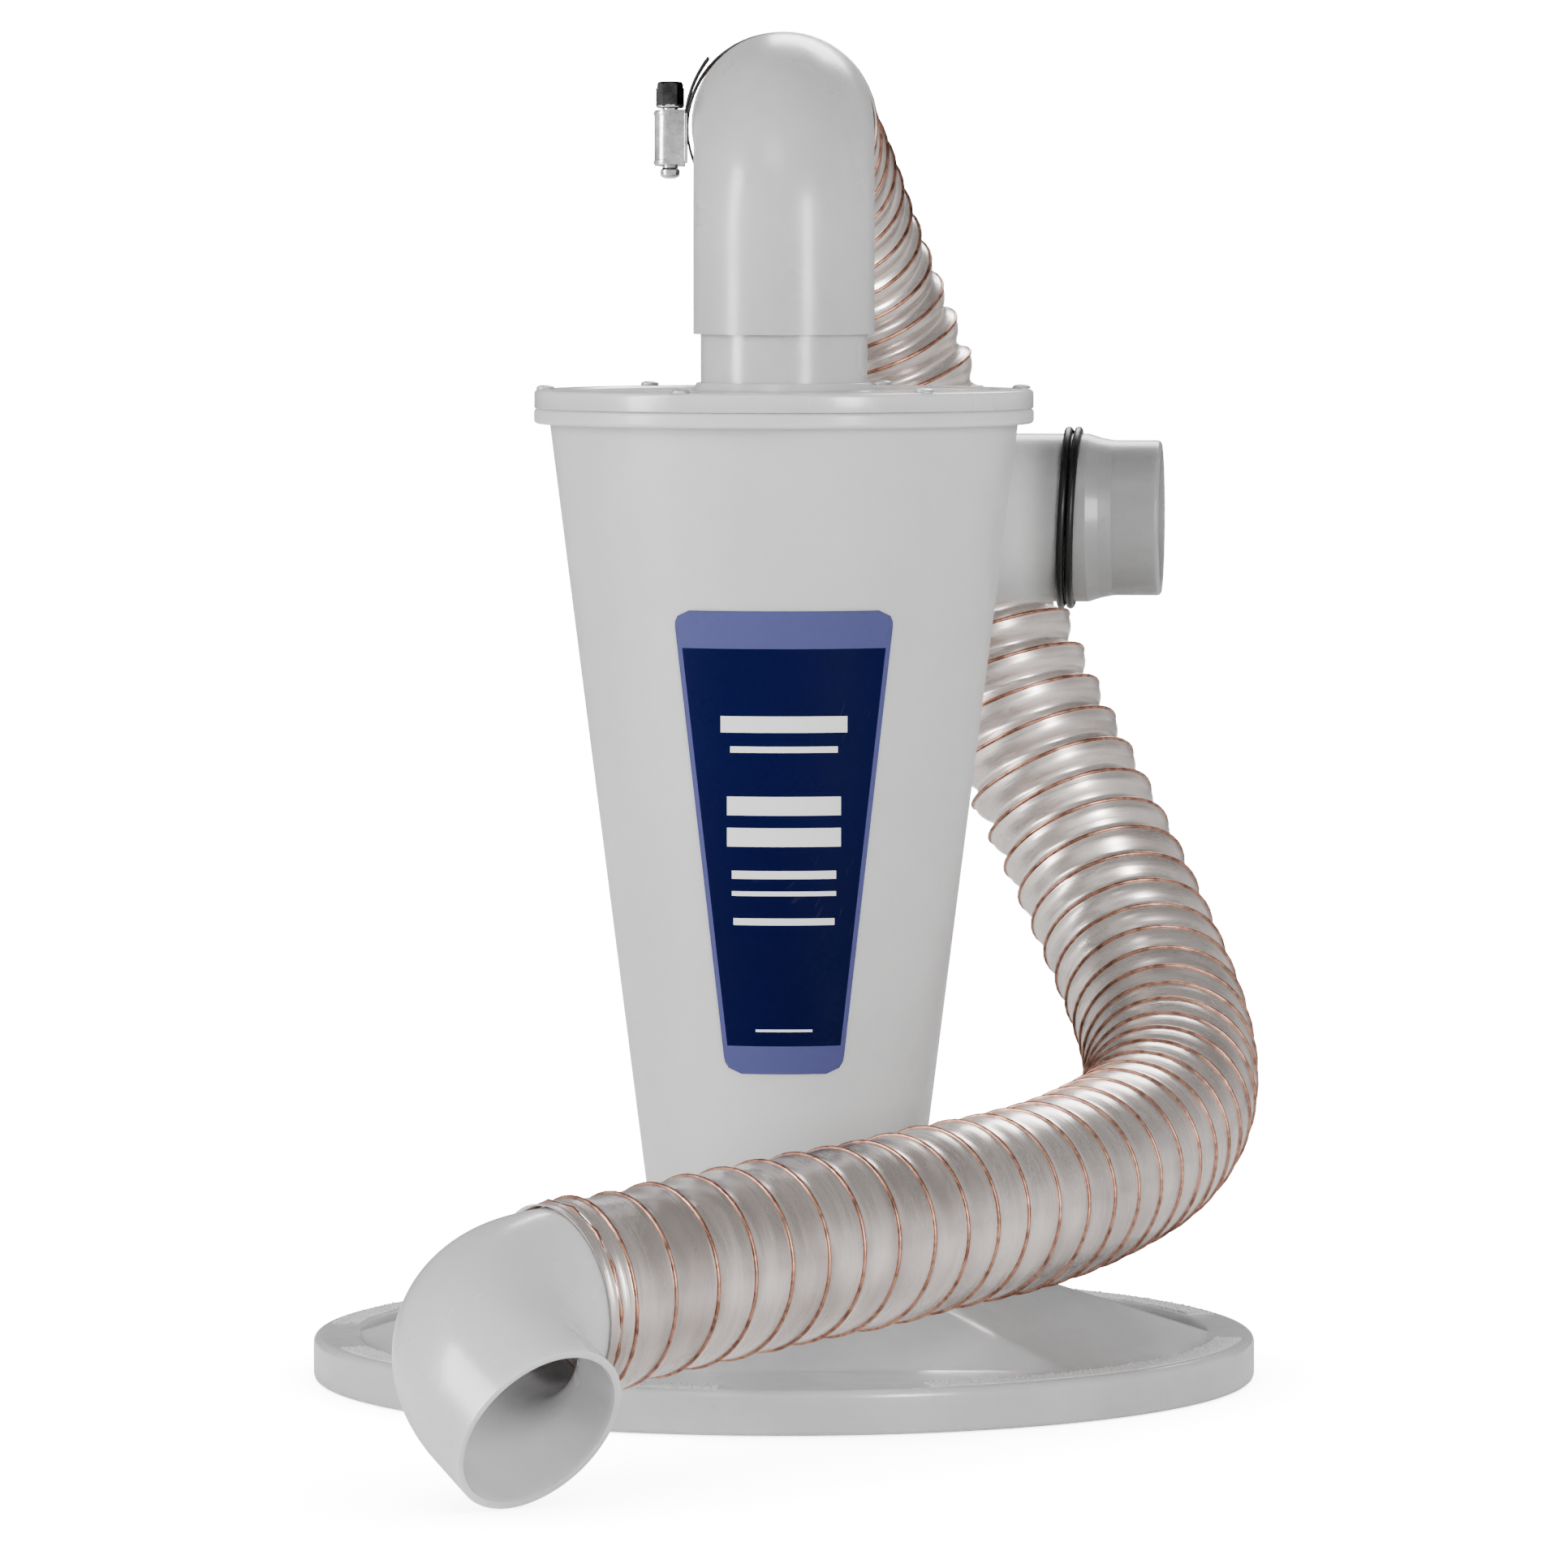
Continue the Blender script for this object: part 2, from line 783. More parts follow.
def dress_node(node: str, material: bpy.types.Material) -> bpy.types.Object:
    """Gives a CAD node its finish and logs it.

    Args:
        node: The node's name.
        material: Its finish.

    Returns:
        The node's object.
    """
    made = dress(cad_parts[node], material)
    LOG.info("%s: CAD node dressed in %s", node, material.name)
    return made


def rounded(corners: Sequence[tuple[float, ...]], steps: int = 4) -> list[tuple[float, float]]:
    """Rounds the corners of a closed outline.

    Args:
        corners: Points as (x, y) or (x, y, radius).
        steps: Segments in each rounded corner.

    Returns:
        The outline's points.
    """
    made: list[tuple[float, float]] = []
    count = len(corners)
    for i, corner in enumerate(corners):
        here = Vector(corner[:2])
        radius = corner[2] if len(corner) > 2 else 0.0
        to_last = (Vector(corners[i - 1][:2]) - here).normalized()
        to_next = (Vector(corners[(i + 1) % count][:2]) - here).normalized()
        half = to_last.angle(to_next) / 2 if radius else 0.0
        if not radius or half > math.pi / 2 - 0.01:
            made.append(tuple(here))
            continue
        start, end = here + to_last * radius / math.tan(half), here + to_next * radius / math.tan(half)
        for k in range(steps + 1):
            t = k / steps
            made.append(tuple((1 - t) ** 2 * start + 2 * t * (1 - t) * here + t * t * end))
    return made


def turned(
    name: str, outline: Sequence[tuple[float, float]], steps: int = 144, axis_closed: bool = False
) -> bpy.types.Object:
    """Turns an outline of (radius, height) points round Z.

    Args:
        name: The piece's name.
        outline: A closed outline clear of the axis, or an open one that starts and ends on it.
        steps: Segments round the axis.
        axis_closed: Whether the outline starts and ends on the axis.

    Returns:
        The piece, in metres if the outline is.
    """
    profile = np.asarray(outline, float)
    angle = np.linspace(0, 2 * math.pi, steps, endpoint=False)
    points = np.stack(
        [np.outer(np.cos(angle), profile[:, 0]), np.outer(np.sin(angle), profile[:, 0]),
         np.tile(profile[:, 1], (steps, 1))], axis=2)
    n = len(profile)
    last = n - 1 if axis_closed else n
    faces = [
        (i * n + k, ((i + 1) % steps) * n + k, ((i + 1) % steps) * n + (k + 1) % n, i * n + (k + 1) % n)
        for i in range(steps) for k in range(last)
    ]
    return tidy(mesh_object(name, points, faces))


def extruded(
    name: str, outline: Sequence[tuple[float, float]], low: float, high: float, edge: float = 0.0
) -> bpy.types.Object:
    """Extrudes a closed outline in X and Y along Z.

    Args:
        name: The piece's name.
        outline: The outline.
        low: Where it starts.
        high: Where it ends.
        edge: Radius of its rounded edges.

    Returns:
        The piece.
    """
    n = len(outline)
    points = [(*p, z) for z in (low, high) for p in outline]
    faces = [tuple(range(n)), tuple(range(n, 2 * n))]
    faces += [(i, (i + 1) % n, n + (i + 1) % n, n + i) for i in range(n)]
    made = tidy(mesh_object(name, points, faces))
    if edge:
        bevel = made.modifiers.new("edge", "BEVEL")
        bevel.width, bevel.segments = edge, 3
        bevel.limit_method, bevel.angle_limit = "ANGLE", math.radians(40)
        tidy(settle(made))
    return made


def slotted(
    made: bpy.types.Object, wide: float, deep: float, low: float, high: float
) -> bpy.types.Object:
    """Cuts a slot of given width and depth, in millimetres, into a screw's head.

    Args:
        made: The screw.
        wide: The slot's size along X.
        deep: The slot's size along Y.
        low: The slot's floor.
        high: A height clear above the head.

    Returns:
        The same piece, cut.
    """
    x, y = wide / 2 * MM, deep / 2 * MM
    cutter = extruded("cutter", [(-x, -y), (x, -y), (x, y), (-x, y)], low * MM, high * MM)
    cut = made.modifiers.new("cut", "BOOLEAN")
    cut.operation, cut.object, cut.solver = "DIFFERENCE", cutter, "EXACT"
    settle(made)
    bpy.data.objects.remove(cutter)
    return made


def hexagon(name: str, across: float, height: float, bore: float, dome: float) -> bpy.types.Object:
    """Hexagon head or nut with chamfered corners, standing on z = 0.

    Args:
        name: The piece's name.
        across: Width across its flats, in millimetres.
        height: Its height.
        bore: Radius of its hole, or 0.
        dome: How far its chamfer drops at the corners.

    Returns:
        The piece.
    """
    flats, corner, n = across / 2, across / math.sqrt(3), 48
    angle = np.linspace(0, 2 * math.pi, n, endpoint=False)
    edge = np.minimum(flats / np.cos((angle % (math.pi / 3)) - math.pi / 6), corner)
    drop = dome * (edge - flats) / (corner - flats)
    rings = [(bore, 0.0), (edge * 0.97, 0.0), (edge, 0.15), (edge, height - 0.25 - drop)]
    rings.append((flats * 0.96, height))
    if bore:
        rings += [(bore + 0.3, height), (bore, height - 0.3)]
    else:
        rings += [(flats * 0.4, height), (0.0, height - 0.1)]
    points = [np.stack([r * np.cos(angle), r * np.sin(angle), z + 0 * angle], axis=1) for r, z in rings]
    faces = []
    for j in range(len(rings) if bore else len(rings) - 1):
        low, high = j * n, (j + 1) % len(rings) * n
        faces += [(low + i, low + (i + 1) % n, high + (i + 1) % n, high + i) for i in range(n)]
    return tidy(mesh_object(name, np.concatenate(points) * MM, faces), sharp=25)


class GeometryTree(NodeKit):
    """A geometry node tree with named inputs, applied and turned into a plain mesh."""

    def __init__(self, name: str) -> None:
        """Makes the tree with its geometry in and out.

        Args:
            name: The tree's name.
        """
        tree = bpy.data.node_groups.new(name, "GeometryNodeTree")
        super().__init__(tree)
        tree.interface.new_socket("Geometry", in_out="INPUT", socket_type="NodeSocketGeometry")
        tree.interface.new_socket("Geometry", in_out="OUTPUT", socket_type="NodeSocketGeometry")
        self.given = self.add("NodeGroupInput")
        self.out = self.add("NodeGroupOutput")
        self.keys: dict[str, str] = {}

    def size(self, name: str, kind: str = "Float") -> bpy.types.NodeSocket:
        """Adds a named input.

        Args:
            name: The input's name.
            kind: Its socket kind.

        Returns:
            Its value inside the tree.
        """
        socket = self.tree.interface.new_socket(name, in_out="INPUT", socket_type="NodeSocket" + kind)
        self.keys[name] = socket.identifier
        return self.given.outputs[name]

    def end(self, geometry: bpy.types.NodeSocket) -> None:
        """Ends the tree: real geometry, smooth and with its finish.

        Args:
            geometry: What comes out.
        """
        real = self.fill(self.add("GeometryNodeRealizeInstances"), Geometry=geometry)
        smooth = self.fill(self.add("GeometryNodeSetShadeSmooth"), Geometry=real.outputs[0])
        paint = self.size("Finish", "Material")
        painted = self.fill(self.add("GeometryNodeSetMaterial"), Geometry=smooth.outputs[0], Material=paint)
        self.feed(self.out.inputs["Geometry"], painted.outputs[0])

    def run(self, made: bpy.types.Object, **values: object) -> bpy.types.Object:
        """Puts the tree on an object, sets its inputs by identifier and keeps the plain result.

        Args:
            made: The object it starts from.
            **values: Each input's value, with _ for a space.

        Returns:
            The same object, now a plain mesh.
        """
        modifier = made.modifiers.new("tree", "NODES")
        modifier.node_group = self.tree
        for name, value in values.items():
            modifier[self.keys[name.replace("_", " ")]] = value
        return settle(made)


def ring_tree() -> GeometryTree:
    """Tree that repeats a part on a ring of points, each turned a little differently.

    Returns:
        The tree.
    """
    g = GeometryTree("parts_on_a_ring")
    circle = g.add("GeometryNodeMeshCircle")
    g.fill(circle, Vertices=g.size("Count", "Int"), Radius=g.size("Radius"))
    twist = g.add("FunctionNodeRandomValue", data_type="FLOAT")
    for socket in twist.inputs:
        if socket.enabled and socket.name == "Max":
            g.feed(socket, g.size("Twist"))
        if socket.enabled and socket.name == "Seed":
            g.feed(socket, g.size("Seed", "Int"))
    turn = next(s for s in twist.outputs if s.enabled)
    euler = g.fill(g.add("ShaderNodeCombineXYZ"), Z=turn)
    part = g.fill(g.add("GeometryNodeObjectInfo"), Object=g.size("Part", "Object"))
    put = g.fill(
        g.add("GeometryNodeInstanceOnPoints"), Points=circle.outputs["Mesh"],
        Instance=part.outputs["Geometry"], Rotation=euler.outputs[0],
    )
    up = g.fill(g.add("ShaderNodeCombineXYZ"), Z=g.size("Height"))
    phase = g.fill(g.add("ShaderNodeCombineXYZ"), Z=g.size("Phase"))
    moved = g.fill(
        g.add("GeometryNodeTransform"), Geometry=put.outputs[0],
        Translation=up.outputs[0], Rotation=phase.outputs[0],
    )
    g.end(moved.outputs[0])
    return g


def helix_tree() -> GeometryTree:
    """Tree that winds a round wire about a line that carries its side, turn and reach.

    Returns:
        The tree.
    """
    g = GeometryTree("wire_round_a_line")
    curve = g.fill(g.add("GeometryNodeMeshToCurve"), Mesh=g.given.outputs["Geometry"])
    finer = g.fill(g.add("GeometryNodeResampleCurve"), Curve=curve.outputs[0], Count=g.size("Points", "Int"))
    side, turn, reach = (
        g.fill(g.add("GeometryNodeInputNamedAttribute", data_type=kind), Name=name).outputs[0]
        for name, kind in (("side", "FLOAT_VECTOR"), ("turn", "FLOAT"), ("reach", "FLOAT"))
    )
    along = g.add("GeometryNodeInputTangent").outputs[0]
    other = g.add("ShaderNodeVectorMath", operation="CROSS_PRODUCT")
    g.feed(other.inputs[0], along)
    g.feed(other.inputs[1], side)
    angle = g.maths("MULTIPLY", turn, -2 * math.pi)
    parts = []
    for vector, wave in ((side, "COSINE"), (other.outputs[0], "SINE")):
        scaled = g.add("ShaderNodeVectorMath", operation="SCALE")
        g.feed(scaled.inputs[0], vector)
        g.feed(scaled.inputs["Scale"], g.maths("MULTIPLY", g.maths(wave, angle), reach))
        parts.append(scaled.outputs[0])
    total = g.add("ShaderNodeVectorMath", operation="ADD")
    g.feed(total.inputs[0], parts[0])
    g.feed(total.inputs[1], parts[1])
    wound = g.fill(g.add("GeometryNodeSetPosition"), Geometry=finer.outputs[0], Offset=total.outputs[0])
    section = g.fill(g.add("GeometryNodeCurvePrimitiveCircle"), Resolution=8, Radius=g.size("Wire Radius"))
    wire = g.add("GeometryNodeCurveToMesh")
    g.fill(wire, Curve=wound.outputs[0], Profile_Curve=section.outputs[0], Fill_Caps=True)
    g.end(wire.outputs[0])
    return g


def wound_wire(
    name: str, line: np.ndarray, side: np.ndarray, turn: np.ndarray, reach: np.ndarray,
    points: int, radius: float, material: bpy.types.Material,
) -> bpy.types.Object:
    """Winds a wire about a line with the helix tree.

    Args:
        name: The piece's name.
        line: The line's points.
        side: A sideways vector at each point.
        turn: How many turns the wire has made at each point.
        reach: The wire's distance from the line at each point.
        points: How many points the wire has.
        radius: The wire's radius.
        material: Its finish.

    Returns:
        The wire.
    """
    mesh = bpy.data.meshes.new(name)
    mesh.from_pydata(line.tolist(), [(i, i + 1) for i in range(len(line) - 1)], [])
    sides = mesh.attributes.new("side", "FLOAT_VECTOR", "POINT").data
    sides.foreach_set("vector", side.astype(np.float32).ravel())
    for title, values in (("turn", turn), ("reach", reach)):
        data = mesh.attributes.new(title, "FLOAT", "POINT").data
        data.foreach_set("value", values.astype(np.float32))
    made = bpy.data.objects.new(name, mesh)
    bpy.context.scene.collection.objects.link(made)
    return helix_tree().run(made, Points=points, Wire_Radius=radius, Finish=material)


def stipple_tree() -> GeometryTree:
    """Tree that scatters low domes over a surface, with a fixed seed.

    Returns:
        The tree.
    """
    g = GeometryTree("stippled_pads")
    spots = g.add("GeometryNodeDistributePointsOnFaces", distribute_method="POISSON")
    g.fill(
        spots, Mesh=g.given.outputs["Geometry"], Distance_Min=g.size("Spacing"), Density_Max=4e6,
        Seed=g.size("Seed", "Int"),
    )
    dot = g.fill(g.add("GeometryNodeMeshIcoSphere"), Radius=g.size("Dot Radius"), Subdivisions=1)
    spread = g.add("FunctionNodeRandomValue", data_type="FLOAT")
    low, high = [s for s in spread.inputs if s.enabled and s.name in ("Min", "Max")]
    g.feed(low, 0.55)
    g.feed(high, 1.25)
    size = next(s for s in spread.outputs if s.enabled)
    flat = g.fill(g.add("ShaderNodeCombineXYZ"), X=size, Y=size, Z=g.maths("MULTIPLY", size, 0.6))
    put = g.fill(
        g.add("GeometryNodeInstanceOnPoints"), Points=spots.outputs["Points"], Instance=dot.outputs["Mesh"],
        Scale=flat.outputs[0],
    )
    g.end(put.outputs[0])
    return g


# ---------------------------------------------------------------- studio


@dataclass
class Studio:
    """Camera, lights, floor and backdrop."""

    camera_at: tuple[float, float, float] = (0.2559, -2.9248, 0.376)
    tilt: float = 86.4
    yaw: float = 5.0
    lens: float = 209.5
    sky_low: float = 0.95
    sky_high: float = 0.22
    backdrop: float = 26.0
    floor_reach: float = 10.0
    floor_curve: float = 1.5

    def camera(self) -> None:
        """Makes the camera and makes it the scene's own."""
        data = bpy.data.cameras.new("studio_camera")
        data.lens, data.sensor_width = self.lens, 36.0
        data.clip_start, data.clip_end = 0.1, 60.0
        made = bpy.data.objects.new("studio_camera", data)
        made.location = self.camera_at
        made.rotation_euler = (math.radians(self.tilt), 0.0, math.radians(self.yaw))
        bpy.context.scene.collection.objects.link(made)
        bpy.context.scene.camera = made

    def _panel(
        self, name: str, azimuth: float, height: float, far: float, size: tuple[float, float], power: float
    ) -> None:
        """One soft rectangular light aimed at the object.

        Args:
            name: Its name.
            azimuth: Its heading from the camera's own, in degrees to the right.
            height: Its height.
            far: Its distance from the object.
            size: Its width and height.
            power: Its power in watts.
        """
        data = bpy.data.lights.new(name, "AREA")
        data.shape, data.size, data.size_y, data.energy = "RECTANGLE", size[0], size[1], power
        made = bpy.data.objects.new(name, data)
        turn = math.radians(azimuth + self.yaw)
        made.location = (far * math.sin(turn), -far * math.cos(turn), height)
        aim = Vector((0.0, 0.0, 0.22)) - made.location
        made.rotation_euler = aim.to_track_quat("-Z", "Y").to_euler()
        bpy.context.scene.collection.objects.link(made)

    def light(self) -> None:
        """Makes the softboxes and the sky, which is white low down and greyer overhead."""
        self._panel("left_softbox", -68.0, 0.7, 1.7, (0.42, 1.3), 46.0)
        self._panel("right_softbox", 30.0, 0.75, 2.2, (0.45, 1.1), 58.0)
        self._panel("high_softbox", -20.0, 2.2, 1.6, (0.7, 0.7), 10.0)
        self._panel("back_softbox", 170.0, 1.5, 1.9, (1.0, 0.8), 34.0)
        world = bpy.data.worlds.new("studio_sky")
        bpy.context.scene.world = world
        world.use_nodes = True
        kit = NodeKit(world.node_tree)
        world.node_tree.nodes.clear()
        split = kit.add("ShaderNodeSeparateXYZ")
        kit.feed(split.inputs[0], kit.add("ShaderNodeTexCoord").outputs["Generated"])
        level = kit.span(split.outputs[2], 0.0, 0.6, self.sky_low, self.sky_high)
        seen = kit.add("ShaderNodeLightPath").outputs["Is Camera Ray"]
        level = kit.maths("MULTIPLY_ADD", seen, self.backdrop, level)
        sky = kit.add("ShaderNodeBackground")
        kit.fill(sky, Color=(1.0, 1.0, 1.0, 1.0), Strength=level)
        kit.feed(kit.add("ShaderNodeOutputWorld").inputs["Surface"], sky.outputs[0])

    def floor(self, effects: Effects) -> None:
        """Makes the floor, which curves up into a backdrop."""
        reach, curve = self.floor_reach, self.floor_curve
        bend = [(-reach, 0.0), (reach, 0.0)]
        for a in np.linspace(0.1, math.pi / 2, 12):
            bend.append((reach + curve * math.sin(a), curve - curve * math.cos(a)))
        bend.append((reach + curve, 3 * curve))
        turn = Matrix.Rotation(math.radians(self.yaw), 4, "Z")
        points = [turn @ Vector((x, y, z - 0.0003)) for y, z in bend for x in (-reach, reach)]
        faces = [(2 * i, 2 * i + 1, 2 * i + 3, 2 * i + 2) for i in range(len(bend) - 1)]
        made = mesh_object("studio_floor", points, faces)
        made.data.polygons.foreach_set("use_smooth", [True] * len(faces))
        dress(made, PlainSurface().make(effects))


# ---------------------------------------------------------------- outlet frames

OUTLET_YAW = 5.0
LEG_ANGLE = 94.0
LEG_LENGTH = 16 * MM
LEG_END = Vector((0.0, 57.6815 * MM, 403.1889 * MM))
LEG_DIRECTION = Vector((0.0, math.sin(math.radians(LEG_ANGLE)), math.cos(math.radians(LEG_ANGLE))))
NOZZLE_HEADING, NOZZLE_DIP, NOZZLE_ROLL = 127.0, 6.0, 59.0
HOSE_END = Vector((-0.057, -0.254, 0.056))
HOSE_ROUTE = (
    (0.003, 0.087, 0.399), (0.009, 0.114, 0.387), (0.016, 0.137, 0.368), (0.025, 0.155, 0.346),
    (0.036, 0.166, 0.320), (0.046, 0.171, 0.292), (0.057, 0.171, 0.263), (0.068, 0.168, 0.235),
    (0.079, 0.162, 0.208), (0.092, 0.153, 0.182), (0.104, 0.140, 0.158), (0.114, 0.122, 0.136),
    (0.122, 0.101, 0.117), (0.127, 0.075, 0.101), (0.127, 0.047, 0.090), (0.123, 0.018, 0.082),
    (0.115, -0.010, 0.076), (0.105, -0.038, 0.073), (0.092, -0.066, 0.070), (0.078, -0.092, 0.068),
    (0.062, -0.118, 0.067), (0.044, -0.142, 0.066), (0.026, -0.166, 0.064), (0.006, -0.189, 0.063),
    (-0.014, -0.211, 0.061), (-0.035, -0.233, 0.059),
)


def rotation(degrees: float, axis: str) -> Matrix:
    """A 4x4 turn about one axis, in degrees."""
    return Matrix.Rotation(math.radians(degrees), 4, axis)


def outlet_frame() -> Matrix:
    """Frame of everything that turns with the outlet elbow."""
    return rotation(OUTLET_YAW, "Z")


def leg_frame() -> Matrix:
    """Frame at the root of the elbow's hose leg, with +Z along the leg."""
    root = LEG_END - LEG_LENGTH * LEG_DIRECTION
    return outlet_frame() @ Matrix.Translation(root) @ rotation(-LEG_ANGLE, "X")


def nozzle_direction() -> Vector:
    """Direction of the hose at the nozzle, in the outlet's frame."""
    heading, dip = math.radians(NOZZLE_HEADING), math.radians(NOZZLE_DIP)
    return Vector((-math.sin(heading) * math.cos(dip), math.cos(heading) * math.cos(dip), -math.sin(dip)))


# ---------------------------------------------------------------- hose


@dataclass
class Hose:
    """Clear film hose wound on a coppered wire, from the outlet elbow to the nozzle."""

    radius: float = 28.2 * MM
    film: float = 0.5 * MM
    wire: float = 0.65 * MM
    proud: float = 0.2 * MM
    cuff: float = 14 * MM
    top_cuff_radius: float = 29.9 * MM
    front_cuff_radius: float = 29.6 * MM
    columns: int = 60
    step: float = 1 * MM
    ease: float = 9 * MM
    pitch_at: tuple[tuple[float, float], ...] = (
        (0.0, 12.4), (0.15, 13.0), (0.21, 14.0), (0.34, 13.4), (0.42, 13.2), (0.5, 14.5), (0.6, 16.0),
        (0.82, 15.5),
    )
    closing: tuple[float, float] = (6 * MM, 13 * MM)
    dip_at: tuple[tuple[float, float], ...] = (
        (0.0, 0.1), (0.014, 0.2), (0.03, 0.9), (0.1, 1.6), (0.16, 2.8), (0.2, 3.4), (0.33, 3.6), (0.4, 2.6),
        (0.46, 1.7), (0.54, 1.4), (0.8, 1.2), (0.83, 0.5), (0.85, 0.2),
    )
    steps: tuple[float, ...] = (0.0, 0.035, 0.09, 0.18, 0.29, 0.40, 0.51, 0.61, 0.70, 0.79, 0.88, 0.96)

    def __post_init__(self) -> None:
        """Works out the hose's own line, its sides and its turns."""
        direction = nozzle_direction()
        marks = [LEG_END - (self.cuff - d) * LEG_DIRECTION for d in (0.0, 0.007)]
        marks += [LEG_END, *(Vector(p) for p in HOSE_ROUTE), HOSE_END]
        marks += [HOSE_END + d * direction for d in (0.007, self.cuff)]
        line = self._spline(np.array([tuple(p) for p in marks]), LEG_DIRECTION, direction)
        turn = np.array(outlet_frame())[:3, :3]
        self.line = line @ turn.T
        self.along = np.concatenate([[0], np.cumsum(np.linalg.norm(np.diff(self.line, axis=0), axis=1))])
        self.length = float(self.along[-1])
        tangent = np.gradient(self.line, self.along, axis=0)
        self.tangent = tangent / np.linalg.norm(tangent, axis=1)[:, None]
        self.side = self._sides()
        from_end = self.length - self.along
        pitch = np.interp(self.along, *zip(*self.pitch_at)) * MM
        pitch *= np.interp(from_end, self.closing, (0.3, 1.0))
        gained = np.diff(self.along) / ((pitch[1:] + pitch[:-1]) / 2)
        self.turns = np.concatenate([[0], np.cumsum(gained)])
        self.dip = np.interp(self.along, *zip(*self.dip_at)) * MM
        self.reach = np.full_like(self.along, self.radius)
        for away, cuff_radius, taper in (
            (self.along, self.top_cuff_radius, 12 * MM), (from_end, self.front_cuff_radius, 8 * MM)
        ):
            share = np.interp(away, (self.cuff, self.cuff + taper), (1.0, 0.0))
            self.reach += share * (cuff_radius - self.radius)

    def _spline(self, marks: np.ndarray, start: Vector, end: Vector) -> np.ndarray:
        """Draws one smooth line through the marks and evens it out.

        Args:
            marks: The points that it follows.
            start: Its direction at the first mark.
            end: Its direction at the last mark.

        Returns:
            Points about one step apart.
        """
        gap = np.linalg.norm(np.diff(marks, axis=0), axis=1)
        at = np.concatenate([[0], np.cumsum(gap)])
        n = len(marks)
        left, right = np.zeros((n, n)), np.zeros((n, 3))
        slope = np.diff(marks, axis=0) / gap[:, None]
        left[0, :2], right[0] = (2 * gap[0], gap[0]), 6 * (slope[0] - np.array(start))
        left[-1, -2:], right[-1] = (gap[-1], 2 * gap[-1]), 6 * (np.array(end) - slope[-1])
        for i in range(1, n - 1):
            left[i, i - 1 : i + 2] = gap[i - 1], 2 * (gap[i - 1] + gap[i]), gap[i]
            right[i] = 6 * (slope[i] - slope[i - 1])
        bend = np.linalg.solve(left, right)
        want = np.linspace(0, at[-1], int(at[-1] / self.step) + 1)
        i = np.clip(np.searchsorted(at, want, side="right") - 1, 0, n - 2)
        a, b, h = (at[i + 1] - want)[:, None], (want - at[i])[:, None], gap[i][:, None]
        line = (bend[i] * a**3 + bend[i + 1] * b**3) / (6 * h)
        line += (marks[i] / h - bend[i] * h / 6) * a + (marks[i + 1] / h - bend[i + 1] * h / 6) * b
        width = int(self.ease / self.step)
        kernel = np.exp(-0.5 * (np.arange(-3 * width, 3 * width + 1) / width) ** 2)
        kernel /= kernel.sum()
        pad = 3 * width
        run = np.arange(pad, 0, -1)[:, None] * self.step
        head = line[0] - run * np.array(start)
        tail = line[-1] + run[::-1] * np.array(end)
        long = np.concatenate([head, line, tail])
        return np.stack([np.convolve(long[:, k], kernel, "valid") for k in range(3)], axis=1)

    def _sides(self) -> np.ndarray:
        """Sideways vectors that turn as little as possible along the line."""
        sides = np.zeros_like(self.line)
        last = np.array((1.0, 0.0, 0.0))
        for i, along in enumerate(self.tangent):
            last = last - (last @ along) * along
            last = last / np.linalg.norm(last)
            sides[i] = last
        return sides

    def _ring_points(
        self, turn: np.ndarray, column: np.ndarray, inwards: float
    ) -> tuple[np.ndarray, np.ndarray, np.ndarray]:
        """Points of the film.

        Args:
            turn: The turn that each point is at.
            column: The share of the way round that each point is at.
            inwards: How far inside the film's face it lies.

        Returns:
            The points, the pattern vector and the fold value of each.
        """
        at = np.interp(turn, self.turns, self.along)
        centre, side, along = (
            np.stack([np.interp(at, self.along, values[:, k]) for k in range(3)], axis=-1)
            for values in (self.line, self.side, self.tangent)
        )
        other = np.cross(along, side)
        angle = 2 * math.pi * column
        share = (turn + column) % 1.0
        bent = np.sin(math.pi * share**1.9) ** 1.7
        bulge = 0.35 * MM * np.exp(-((np.minimum(share, 1 - share) / 0.035) ** 2))
        ripple = 0.03 * MM * np.sin(5 * angle + 3.1 * at / 0.0137) * bent
        reach = np.interp(at, self.along, self.reach) - np.interp(at, self.along, self.dip) * bent
        reach = reach + bulge + ripple - inwards
        outwards = np.cos(angle)[..., None] * side + np.sin(angle)[..., None] * other
        points = centre + reach[..., None] * outwards
        around = np.stack([np.cos(angle), np.sin(angle), at * 60], axis=-1)
        return points, around, np.abs(share - 0.5) * 2

    def build_film(self) -> bpy.types.Object:
        """Makes the film as one closed tube whose rows follow the wire.

        Returns:
            The film.
        """
        rows, columns = len(self.steps), self.columns
        count = rows * (math.ceil(self.turns[-1]) + 1)
        k = np.arange(count + 1)
        want = (k // rows + np.array(self.steps)[k % rows])[:, None] - (np.arange(columns) / columns)[None]
        turn = np.clip(want, 0, self.turns[-1])
        column = np.broadcast_to((np.arange(columns) / columns)[None], turn.shape)
        outer, around, fold = self._ring_points(turn, column, 0.0)
        inner, _, _ = self._ring_points(turn, column, self.film)
        size = (count + 1) * columns
        i = np.arange(count)[:, None] * columns + np.arange(columns)[None]
        right = i + 1
        right[:, -1] = np.maximum(np.arange(count) - rows, 0) * columns
        above = right + columns
        above[:, -1] = np.maximum(np.arange(count) + 1 - rows, 0) * columns
        quads = np.stack([i, right, above, i + columns], axis=-1).reshape(-1, 4)
        ends = []
        for row, flip in ((0, True), (count, False)):
            base = row * columns + np.arange(columns)
            ring = np.stack([base, np.roll(base, -1), np.roll(base, -1) + size, base + size], axis=-1)
            ends.append(ring[:, ::-1] if flip else ring)
        faces = np.concatenate([quads, quads[:, ::-1] + size, *ends])
        keep = np.array([len(set(f)) > 2 for f in faces])
